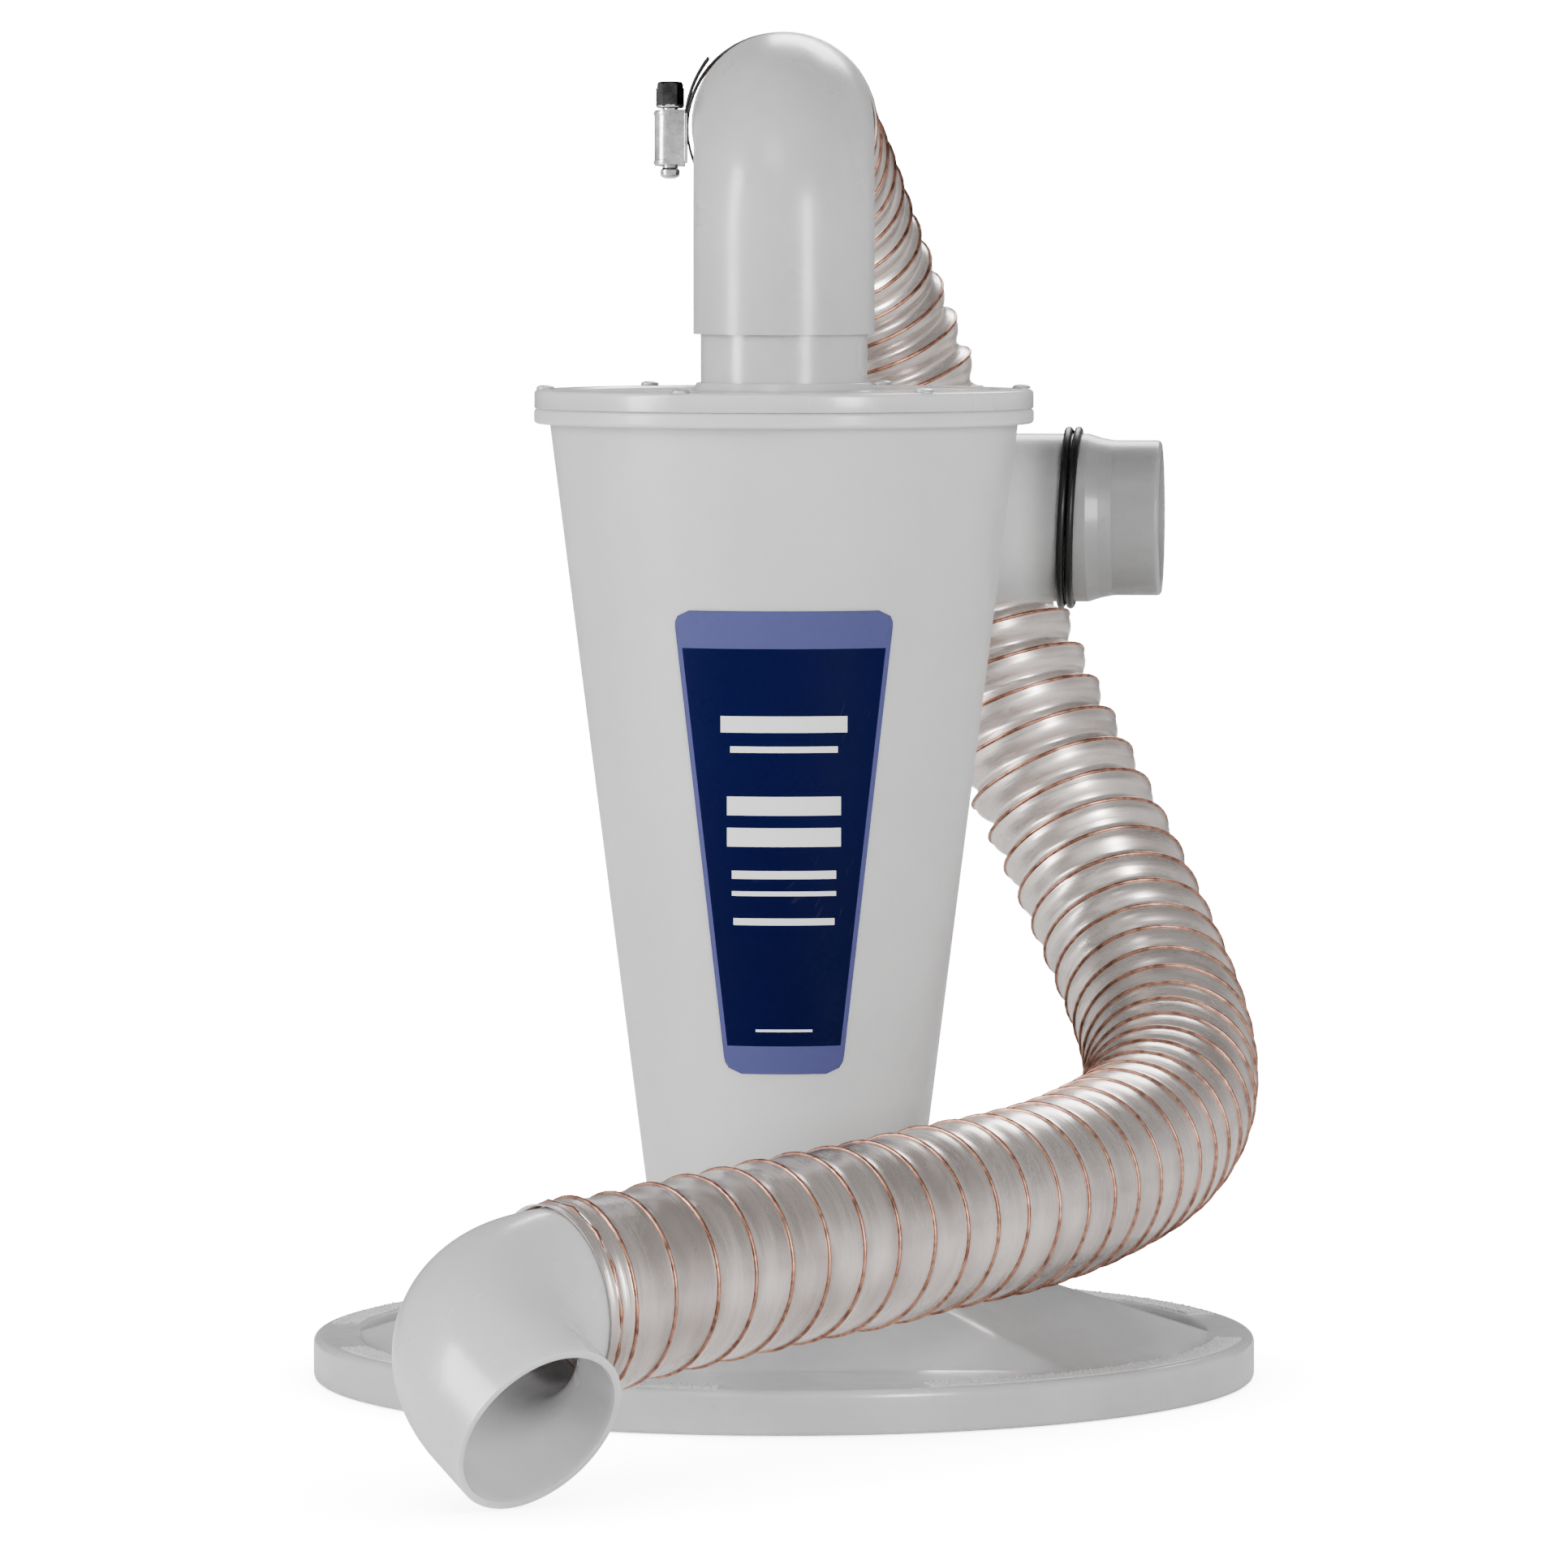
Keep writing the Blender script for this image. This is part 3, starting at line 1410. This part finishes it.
        points = np.concatenate([outer.reshape(-1, 3), inner.reshape(-1, 3)])
        made = mesh_object("hose_film", points, faces[keep])
        vector = made.data.attributes.new("around", "FLOAT_VECTOR", "POINT")
        vector.data.foreach_set("vector", np.tile(around.reshape(-1, 3), (2, 1)).astype(np.float32).ravel())
        value = made.data.attributes.new("fold", "FLOAT", "POINT")
        value.data.foreach_set("value", np.tile(fold.ravel(), 2).astype(np.float32))
        return tidy(made, merge=1e-6, sharp=60, outward=False)

    def build_wire(self, material: bpy.types.Material) -> bpy.types.Object:
        """Winds the wire with a geometry tree.

        Args:
            material: Its finish.

        Returns:
            The wire.
        """
        keep = (self.along > self.cuff * 0.5) & (self.along < self.length - 0.8 * MM)
        return wound_wire(
            "hose_wire", self.line[keep], self.side[keep], self.turns[keep], self.reach[keep] + self.proud,
            int((self.turns[-1] - 1) * 44), self.wire, material,
        )

    def build(self, looks: Finishes) -> None:
        """Args:
            looks: The finishes.
        """
        film = dress(self.build_film(), looks.film)
        wire = self.build_wire(looks.copper)
        finish(film, Body.ARM, ("hose", "hose_cuff_top", "hose_cuff_front"))
        finish(wire, Body.ARM)


# ---------------------------------------------------------------- lid


@dataclass
class PailLid:
    """Pail lid with a rounded rim, a six-sided hipped skirt, side pockets and stippled pads."""

    rim_r: float = 152.0
    rim_h: float = 14.0
    edge_r: float = 2.4
    land_r: float = 137.0
    hole_r: float = 36.0
    wall: float = 2.4
    plateau: float = 34.0
    front_foot: float = 105.0
    front_slope: float = 0.49
    side_foot: float = 124.0
    side_slope: float = 0.35
    side_turn: float = 25.0
    skirt_turn: float = 5.0
    pad_turn: float = 55.0
    pad_span: float = 64.0
    pad_height: float = 0.4
    rim_side: tuple[tuple[float, float], ...] = (
        (152.0, 8.0), (152.0, 4.0), (152.0, 1.6), (151.7, 0.6), (151.1, 0.1), (150.2, 0.0), (149.6, 0.0),
    )
    rim_groove: tuple[tuple[float, float], ...] = (
        (149.6, 11.0), (149.2, 11.6), (139.8, 11.6), (139.4, 11.0), (139.4, 0.3), (139.0, 0.0), (137.2, 0.0),
    )
    steps: int = 360

    @staticmethod
    def _soft_min(a: np.ndarray, b: np.ndarray, k: np.ndarray | float) -> np.ndarray:
        """The lower of two heights, with the crease rounded by k."""
        return 0.5 * (a + b - np.sqrt((a - b) ** 2 + k**2))

    def height(self, radius: np.ndarray, angle: np.ndarray) -> np.ndarray:
        """Height of the lid's top inside the land.

        Args:
            radius: Distances from the middle, in millimetres.
            angle: Headings in radians.

        Returns:
            The heights in millimetres.
        """
        turn = angle - math.radians(self.skirt_turn)
        x, y = radius * np.cos(turn), radius * np.sin(turn)
        rise = self.front_slope * (self.front_foot - np.abs(y))
        front = self.rim_h + 0.5 * (rise + np.sqrt(rise**2 + 0.8))
        side = math.radians(self.side_turn)
        across = math.cos(side) * np.abs(x) + math.sin(side) * np.abs(y)
        slant = self.rim_h + self.side_slope * (self.side_foot - across)
        hip = 0.5 + 0.022 * np.maximum(self.land_r - radius, 0)
        return self._soft_min(self._soft_min(front, slant, hip), np.full_like(x, self.plateau), 0.6)

    def build(self, looks: Finishes) -> None:
        """Builds the lid and its stippled pads.

        Args:
            looks: The finishes.
        """
        angle = np.linspace(0, 2 * math.pi, self.steps, endpoint=False)
        rows: list[np.ndarray] = []

        def ring(radius: float, height: np.ndarray | float) -> None:
            """Adds one ring of points."""
            z = np.broadcast_to(np.asarray(height, float), angle.shape)
            rows.append(np.stack([radius * np.cos(angle), radius * np.sin(angle), z], axis=1))

        ring(self.hole_r, self.plateau - 0.7)
        ring(self.hole_r + 0.2, self.plateau - 0.2)
        ring(self.hole_r + 0.7, self.plateau)
        for radius in np.concatenate([np.linspace(42, 58, 4), np.arange(61, self.land_r - 0.5, 1.25)]):
            ring(radius, self.height(np.full_like(angle, radius), angle))
        lip = self.height(np.full_like(angle, self.land_r), angle)
        deep = np.maximum(self.rim_h - lip, 0)
        for out, share in ((-0.15, 1.0), (0.15, 0.7), (0.3, 0.35), (0.7, 0.1), (1.4, 0.0)):
            ring(self.land_r + out, self.rim_h - deep * share)
        for radius in (140.0, 144.0, 148.0):
            ring(radius, self.rim_h)
        middle = self.rim_r - self.edge_r
        for turn in np.radians(np.linspace(90, 0, 8)):
            z = self.rim_h - self.edge_r + self.edge_r * math.sin(turn)
            ring(middle + self.edge_r * math.cos(turn), z)
        for radius, z in self.rim_side + self.rim_groove:
            ring(radius, z)
        ring(136.9, 0.3)
        under = np.minimum(lip, self.rim_h) - self.wall
        ring(136.9, under)
        for radius in np.arange(133.5, self.hole_r + 3, -4.0):
            ring(radius, self.height(np.full_like(angle, radius), angle) - self.wall - 0.15)
        ring(self.hole_r, self.plateau - self.wall)
        n, count = self.steps, len(rows)
        i = np.arange(count)[:, None] * n + np.arange(n)[None]
        above = np.roll(i, -1, 0)
        faces = np.stack([i, np.roll(i, -1, 1), np.roll(above, -1, 1), above], axis=-1)
        shell = mesh_object("pail_lid_shell", np.concatenate(rows) * MM, faces.reshape(-1, 4))
        tidy(shell, sharp=50)
        dress(shell, looks.lid)
        finish(shell, Body.BASE, ("pail_lid",))
        finish(self._pads(looks.pad), Body.BASE)

    def _pads(self, material: bpy.types.Material) -> bpy.types.Object:
        """Builds the four raised pads with their stipple.

        Args:
            material: Their finish.

        Returns:
            The pads as one piece.
        """
        low, high = self.rim_h - 0.2, self.rim_h + self.pad_height
        shoulder = high - 0.15
        section = [
            (139.6, low), (139.6, shoulder), (139.9, high), (148.2, high), (148.5, shoulder), (148.5, low)
        ]
        points, faces, tops = [], [], []
        steps = 48
        for k in range(4):
            start = self.pad_turn + 90 * k - self.pad_span / 2
            first = len(points)
            for i in range(steps + 1):
                a = math.radians(start + self.pad_span * i / steps)
                ragged = 0.12 * math.sin(13 * a + k) + 0.1 * math.sin(47 * a)
                points += [((r + ragged) * math.cos(a), (r + ragged) * math.sin(a), z) for r, z in section]
            for i in range(steps):
                a = first + 6 * i
                faces += [(a + j, a + (j + 1) % 6, a + 6 + (j + 1) % 6, a + 6 + j) for j in range(6)]
                tops.append((a + 2, a + 3, a + 9, a + 8))
            faces += [tuple(first + j for j in range(6)), tuple(first + 6 * steps + j for j in range(6))]
        pads = tidy(mesh_object("pads", np.array(points) * MM, faces))
        dots = mesh_object("dots", np.array(points) * MM, tops)
        stipple_tree().run(dots, Spacing=1.35 * MM, Seed=7, Dot_Radius=0.5 * MM, Finish=material)
        dress(pads, material)
        dress(dots, material)
        return join("lid_stippled_pads", [pads, dots])


# ---------------------------------------------------------------- cyclone


@dataclass
class Cyclone:
    """Cone body, its cover, outlet tube, foot fasteners and inlet bands."""

    cover_r: float = 80.3
    cover_top: float = 318.5
    screw_ring: float = 76.8
    bolt_ring: float = 50.5
    foot_top: float = 40.0
    seat_under: float = 31.6
    inlet_y: float = 43.4
    inlet_z: float = 276.0
    inlet_r: float = 27.4
    band_x: tuple[float, float] = (88.3, 91.2)

    def _cover(self) -> bpy.types.Object:
        """Turns the cover with its lip, recessed face, collar and register."""
        r, top = self.cover_r, self.cover_top
        outline = rounded(
            [
                (26.85, 315.5), (26.85, top + 2.2, 0.3), (28.2, top + 2.2, 0.6), (29.2, top - 0.5, 0.8),
                (68.6, top - 0.5, 0.6), (69.6, top, 0.6), (r, top, 1.5), (r, 312.52, 0.25),
                (78.8, 312.52, 0.2), (78.8, 313.5, 0.2), (73.2, 313.5, 0.3), (73.2, 308.6, 0.5),
                (70.8, 308.6, 0.5), (70.8, 315.5, 0.6),
            ]
        )
        return turned("top_cover_plate", np.array(outline) * MM, 192)

    def _screw_head(self) -> bpy.types.Object:
        """Pan-head screw with a cross recess, standing on z = 0."""
        outline = [
            (0, -5.0), (1.4, -5.0), (1.4, 0.0), (2.9, 0.0), (3.0, 0.4), (2.75, 0.95), (2.1, 1.3),
            (1.1, 1.46), (0, 1.5),
        ]
        head = turned("cover_screw", np.array(outline) * MM, 24, True)
        for wide, deep in ((3.2, 0.62), (0.62, 3.2)):
            slotted(head, wide, deep, 0.9, 3.0)
        return tidy(head, sharp=32)

    def _bolt(self) -> bpy.types.Object:
        """Foot bolt with a threaded shank; its head stands on z = 0."""
        outline = [(0.0, -16.4), (2.0, -16.4)]
        for k in range(26):
            z = -16.1 + 0.6 * k
            outline += [(2.15, z), (2.5, z + 0.3)]
        outline += [(2.5, 0.1), (0.0, 0.1)]
        shank = turned("shank", np.array(outline) * MM, 16, True)
        return join("foot_bolt", [shank, hexagon("head", 8.0, 3.5, 0.0, 0.6)])

    def _washer(self) -> bpy.types.Object:
        """Flat washer standing on z = 0."""
        outline = rounded([(2.6, 0.0, 0.15), (5.4, 0.0, 0.2), (5.4, 1.0, 0.3), (2.6, 1.0, 0.15)], 2)
        return turned("foot_washer", np.array(outline) * MM, 32)

    def _band(self, name: str, x: float, tilt: float, wobble: float) -> bpy.types.Object:
        """Rubber band stretched round the inlet.

        Args:
            name: The piece's name.
            x: Where its middle is along the inlet, in millimetres.
            tilt: How far its top leans outwards, in degrees.
            wobble: How far it strays sideways, in millimetres.

        Returns:
            The band.
        """
        around, section = 120, 16
        points, faces = [], []
        for i in range(around):
            a = 2 * math.pi * i / around
            stray = x + math.tan(math.radians(tilt)) * self.inlet_r * math.sin(a)
            stray += wobble * (0.6 * math.sin(2 * a + 0.8) + 0.4 * math.sin(3 * a) - 0.5 * math.sin(a))
            for j in range(section):
                b = 2 * math.pi * j / section
                out = self.inlet_r + 1.02 + 1.3 * math.cos(b) * (1.0 if math.cos(b) > 0 else 0.8)
                y, z = self.inlet_y + out * math.cos(a), self.inlet_z + out * math.sin(a)
                points.append((stray + 1.32 * math.sin(b), y, z))
        for i in range(around):
            for j in range(section):
                k, m = ((i + 1) % around) * section, (j + 1) % section
                faces.append((i * section + j, i * section + m, k + m, k + j))
        return tidy(mesh_object(name, np.array(points) * MM, faces))

    def build(self, looks: Finishes) -> None:
        """Builds and dresses the cyclone's pieces.

        Args:
            looks: The finishes.
        """
        dress_node("cyclone_body", looks.body)
        dress_node("outlet_tube", looks.cover)
        dress_node("lid_seal", looks.rubber)
        dress_node("foot_gasket", looks.foam)
        dress_node("cover_gasket", looks.foam)
        finish(dress(self._cover(), looks.cover), Body.BASE, ("top_cover",))
        tree = ring_tree()
        screws, bolts = (self.screw_ring, 10.0), (self.bolt_ring, 30.0)
        under = self.seat_under
        rings = (
            ("cover_screw_ring", "cover_screws", self._screw_head(), *screws, self.cover_top, 1.2, 3),
            ("foot_bolt_ring", "foot_bolts", self._bolt(), *bolts, self.foot_top + 1.0, 0.9, 5),
            ("foot_washer_ring", "foot_washers_top", self._washer(), *bolts, self.foot_top, 0.0, 1),
            ("seat_washer_ring", "foot_washers_bottom", self._washer(), *bolts, under - 1.0, 0.0, 1),
            ("foot_nut_ring", "foot_nuts", hexagon("nut", 8.0, 4.0, 2.56, 0.5), *bolts, under - 5.0, 0.9, 9),
        )
        for name, node, part, radius, phase, height, twist, seed in rings:
            made = mesh_object(name, [], [])
            tree.run(
                made, Count=6, Radius=radius * MM, Phase=math.radians(phase), Height=height * MM, Twist=twist,
                Seed=seed, Part=part, Finish=looks.zinc,
            )
            bpy.data.objects.remove(part)
            made.data.set_sharp_from_angle(angle=math.radians(30))
            finish(dress(made, looks.zinc), Body.BASE, (node,))
        for name, node, x, tilt, wobble in (
            ("inlet_band_near", "inlet_band_inner", self.band_x[0], 3.0, 0.25),
            ("inlet_band_far", "inlet_band_outer", self.band_x[1], 2.2, -0.25),
        ):
            band = dress(self._band(name, x, tilt, wobble), looks.rubber)
            finish(band, Body.BASE, (node,))


# ---------------------------------------------------------------- label


@dataclass
class ConeLabel:
    """Tapered film label on the front of the cone."""

    top_w: float = 70.0
    foot_w: float = 37.0
    low: float = 102.0
    height: float = 148.0
    corner: float = 5.0
    thickness: float = 0.18
    cone_foot: tuple[float, float] = (36.0, 41.2)
    cone_top: tuple[float, float] = (307.5, 75.3)
    yaw: float = 5.0

    def build(self, looks: Finishes) -> None:
        """Builds the label and dresses it.

        Args:
            looks: The finishes.
        """
        across, up = 40, 80
        points, prints = [], []
        (z0, r0), (z1, r1) = self.cone_foot, self.cone_top
        for lift in (self.thickness, 0.02):
            for j in range(up + 1):
                v = j / up
                y = v * self.height
                width = self.foot_w + (self.top_w - self.foot_w) * v
                full = width
                short = self.corner - min(y, self.height - y)
                if short > 0:
                    width -= 2 * (self.corner - math.sqrt(max(self.corner**2 - short**2, 0.0)))
                z = self.low + y
                reach = r0 + (r1 - r0) * (z - z0) / (z1 - z0) + lift
                for i in range(across + 1):
                    x = (i / across - 0.5) * width
                    points.append((x, -math.sqrt(reach**2 - x**2), z))
                    prints.append((x / full + 0.5, v))
        n, size = across + 1, (across + 1) * (up + 1)
        faces = []
        for j in range(up):
            for i in range(across):
                a = j * n + i
                faces.append((a, a + 1, a + n + 1, a + n))
                faces.append((size + a + n, size + a + n + 1, size + a + 1, size + a))
        rim = list(range(n)) + [j * n + across for j in range(1, up + 1)]
        rim += [up * n + i for i in range(across - 1, -1, -1)] + [j * n for j in range(up - 1, 0, -1)]
        faces += [(a, size + a, size + b, b) for a, b in zip(rim, rim[1:] + rim[:1])]
        made = mesh_object("cone_label_print", np.array(points) * MM, faces)
        layer = made.data.uv_layers.new(name="print")
        at = np.zeros(len(made.data.loops), np.int32)
        made.data.loops.foreach_get("vertex_index", at)
        layer.data.foreach_set("uv", np.array(prints, np.float32)[at].ravel())
        place(made, rotation(self.yaw, "Z"))
        tidy(made, merge=1e-7, sharp=60)
        finish(dress(made, looks.label), Body.BASE, ("label",))


# ---------------------------------------------------------------- clamp


@dataclass
class HoseClamp:
    """Worm-drive clamp on the hose's cuff: slotted band, pressed housing and worm screw."""

    inner_r: float = 30.0
    thickness: float = 0.7
    sideways: float = -1.1
    down: float = 0.8
    width: float = 9.0
    middle: float = 9.0
    tail: float = 44.0
    drop: float = 3.5
    length: float = 18.0
    height: float = 10.4
    screw_x: float = -37.16

    @property
    def outer_r(self) -> float:
        """Outer radius of the band."""
        return self.inner_r + self.thickness

    def _strip(
        self, name: str, start: float, end: float, radius: Callable[[float], float], thick: float
    ) -> bpy.types.Object:
        """A strip of band with slanting slots, as a closed shell.

        Args:
            name: The piece's name.
            start: Where it starts, in degrees.
            end: Where it ends.
            radius: Its inner radius at a share of its length.
            thick: Its thickness in millimetres.

        Returns:
            The strip.
        """
        cells = int(abs(end - start) / 1.25)
        levels = (-0.5, -0.44, -0.28, 0.0, 0.28, 0.44, 0.5)
        points, faces = [], []
        for i in range(cells + 1):
            share = i / cells
            for j, level in enumerate(levels):
                lean = 0.9 * level if 1 <= j <= 5 and 0 < i < cells else 0.0
                a = math.radians(start + (end - start) * share + lean)
                r = radius(share) + (0.18 if j in (0, 6) else 0.0)
                points.append((r * math.cos(a), r * math.sin(a), self.middle + self.width * level))
        n = len(levels)
        for i in range(cells):
            for j in range(n - 1):
                if 2 <= j <= 3 and i % 3 == 1 and 2 < i < cells - 3:
                    continue
                a = i * n + j
                faces.append((a, a + n, a + n + 1, a + 1))
        made = mesh_object(name, np.array(points) * MM, faces)
        tidy(made)
        wall = made.modifiers.new("wall", "SOLIDIFY")
        wall.thickness, wall.offset = thick * MM, 1.0
        settle(made)
        return tidy(made, sharp=35)

    def _band(self) -> bpy.types.Object:
        """The band round the cuff with its free end standing off a little."""
        loop = self._strip("loop", 8.0, 368.0, lambda _: self.inner_r + 0.02, self.thickness - 0.04)
        end = 180.0 + self.tail
        tail = self._strip("tail", 172.0, end, lambda t: self.outer_r + 0.02 + 1.5 * t**2.2, 0.7)
        return join("clamp_slotted_band", [loop, tail])

    def _housing(self) -> bpy.types.Object:
        """Pressed housing: an arched cover over the worm, a saddle below it and two ribs."""
        half, top, wall = self.width / 2 + 0.5, self.height - 4.9, 0.9

        def arch(wide: float, high: float, backwards: bool = False) -> list[tuple[float, float]]:
            """Half an ellipse over the worm."""
            turn = np.linspace(0, math.pi, 17)
            turn = turn[::-1] if backwards else turn
            return [(math.cos(a) * wide, top + math.sin(a) * high) for a in turn]

        bore = half - wall
        outline = [(half, 0.2), *arch(half, 4.8), (-half, 0.2)]
        outline += [(-bore, 0.2), *arch(bore, 4.8 - wall, True), (bore, 0.2)]
        parts = [extruded("cover", np.array(outline) * MM, 0.0, self.length * MM, 0.25 * MM)]
        for at in (0.35, self.length - 1.75):
            rib = arch(half + 0.25, 5.05) + arch(half - 0.5, 4.3, True)
            parts.append(extruded("rib", np.array(rib) * MM, at * MM, (at + 1.4) * MM, 0.3 * MM))
        side = half + 0.6
        saddle = rounded([(-side, -0.5, 0.2), (side, -0.5, 0.2), (side, 0.5, 0.3), (-side, 0.5, 0.3)], 3)
        foot = extruded("saddle", np.array(saddle) * MM, 1.2 * MM, (self.length - 1.2) * MM, 0.15 * MM)
        made = join("clamp_pressed_housing", [*parts, foot])
        at = Vector((-self.outer_r - 0.2, self.drop - self.length / 2, self.middle)) * MM
        turn = Matrix(((0, -1, 0, 0), (0, 0, 1, 0), (-1, 0, 0, 0), (0, 0, 0, 1)))
        return place(made, Matrix.Translation(at) @ turn)

    def _screw(self, looks: Finishes) -> bpy.types.Object:
        """Worm screw: slotted hexagon head, collar, shank with its worm, and a rounded tip.

        Args:
            looks: The finishes.

        Returns:
            The screw.
        """
        head = slotted(hexagon("head", 8.0, 8.2, 0.0, 0.9), 12.0, 1.2, 6.2, 12.0)
        dress(tidy(head, sharp=28), looks.dark)
        tip = self.length + 5.3
        outline = rounded([
            (0.0, 0.6), (4.3, 0.6, 0.2), (4.3, -0.3, 0.3), (2.6, -0.3, 0.2), (2.6, -self.length + 0.5),
            (2.6, -tip + 3.4, 0.3), (3.2, -tip + 2.6, 0.5), (3.1, -tip + 0.6, 1.0), (1.6, -tip, 0.6),
            (0.0, -tip),
        ])
        shank = turned("shank", np.array(outline) * MM, 40, True)
        dress(shank, looks.bright)
        worm = self._worm(looks.bright)
        made = join("clamp_worm_screw", [head, shank, worm])
        at = Vector((self.screw_x, self.drop - self.length / 2 - 0.3, self.middle)) * MM
        return place(made, Matrix.Translation(at) @ rotation(90, "X"))

    def _worm(self, material: bpy.types.Material) -> bpy.types.Object:
        """Winds the worm's thread with the wire tree.

        Args:
            material: Its finish.

        Returns:
            The thread.
        """
        count = 60
        line = np.zeros((count, 3))
        line[:, 2] = -np.linspace(1.6, self.length - 1.0, count) * MM
        made = wound_wire(
            "thread", line, np.tile((1.0, 0.0, 0.0), (count, 1)), np.linspace(0, 6, count),
            np.full(count, 2.55 * MM), 200, 0.7 * MM, material,
        )
        return dress(made, material)

    def build(self, looks: Finishes) -> None:
        """Builds and dresses the clamp.

        Args:
            looks: The finishes.
        """
        seat = leg_frame() @ Matrix.Translation(Vector((self.sideways, self.down, 0.0)) * MM)
        band = place(dress(self._band(), looks.dark), seat)
        finish(band, Body.ARM, ("clamp_band",))
        housing = place(dress(self._housing(), looks.bright), seat)
        finish(housing, Body.ARM, ("clamp_housing",))
        screw = place(self._screw(looks), leg_frame())
        finish(screw, Body.WORM, ("clamp_screw",))


# ---------------------------------------------------------------- the whole


@dataclass
class Elbows:
    """The outlet elbow and the nozzle elbow, which keep their CAD shapes."""

    def build(self, looks: Finishes) -> None:
        """Dresses both elbows.

        Args:
            looks: The finishes.
        """
        dress_node("outlet_elbow", looks.elbow)
        dress_node("nozzle_elbow", looks.nozzle)


def main() -> None:
    """Builds the studio and every sub-assembly in order."""
    logging.basicConfig(level=logging.INFO, format="%(name)s %(message)s")
    studio = Studio()
    studio.camera()
    looks = Finishes()
    Hose().build(looks)
    PailLid().build(looks)
    Cyclone().build(looks)
    ConeLabel().build(looks)
    Elbows().build(looks)
    HoseClamp().build(looks)
    studio.light()
    studio.floor(looks.effects)


if __name__ == "__main__":
    main()
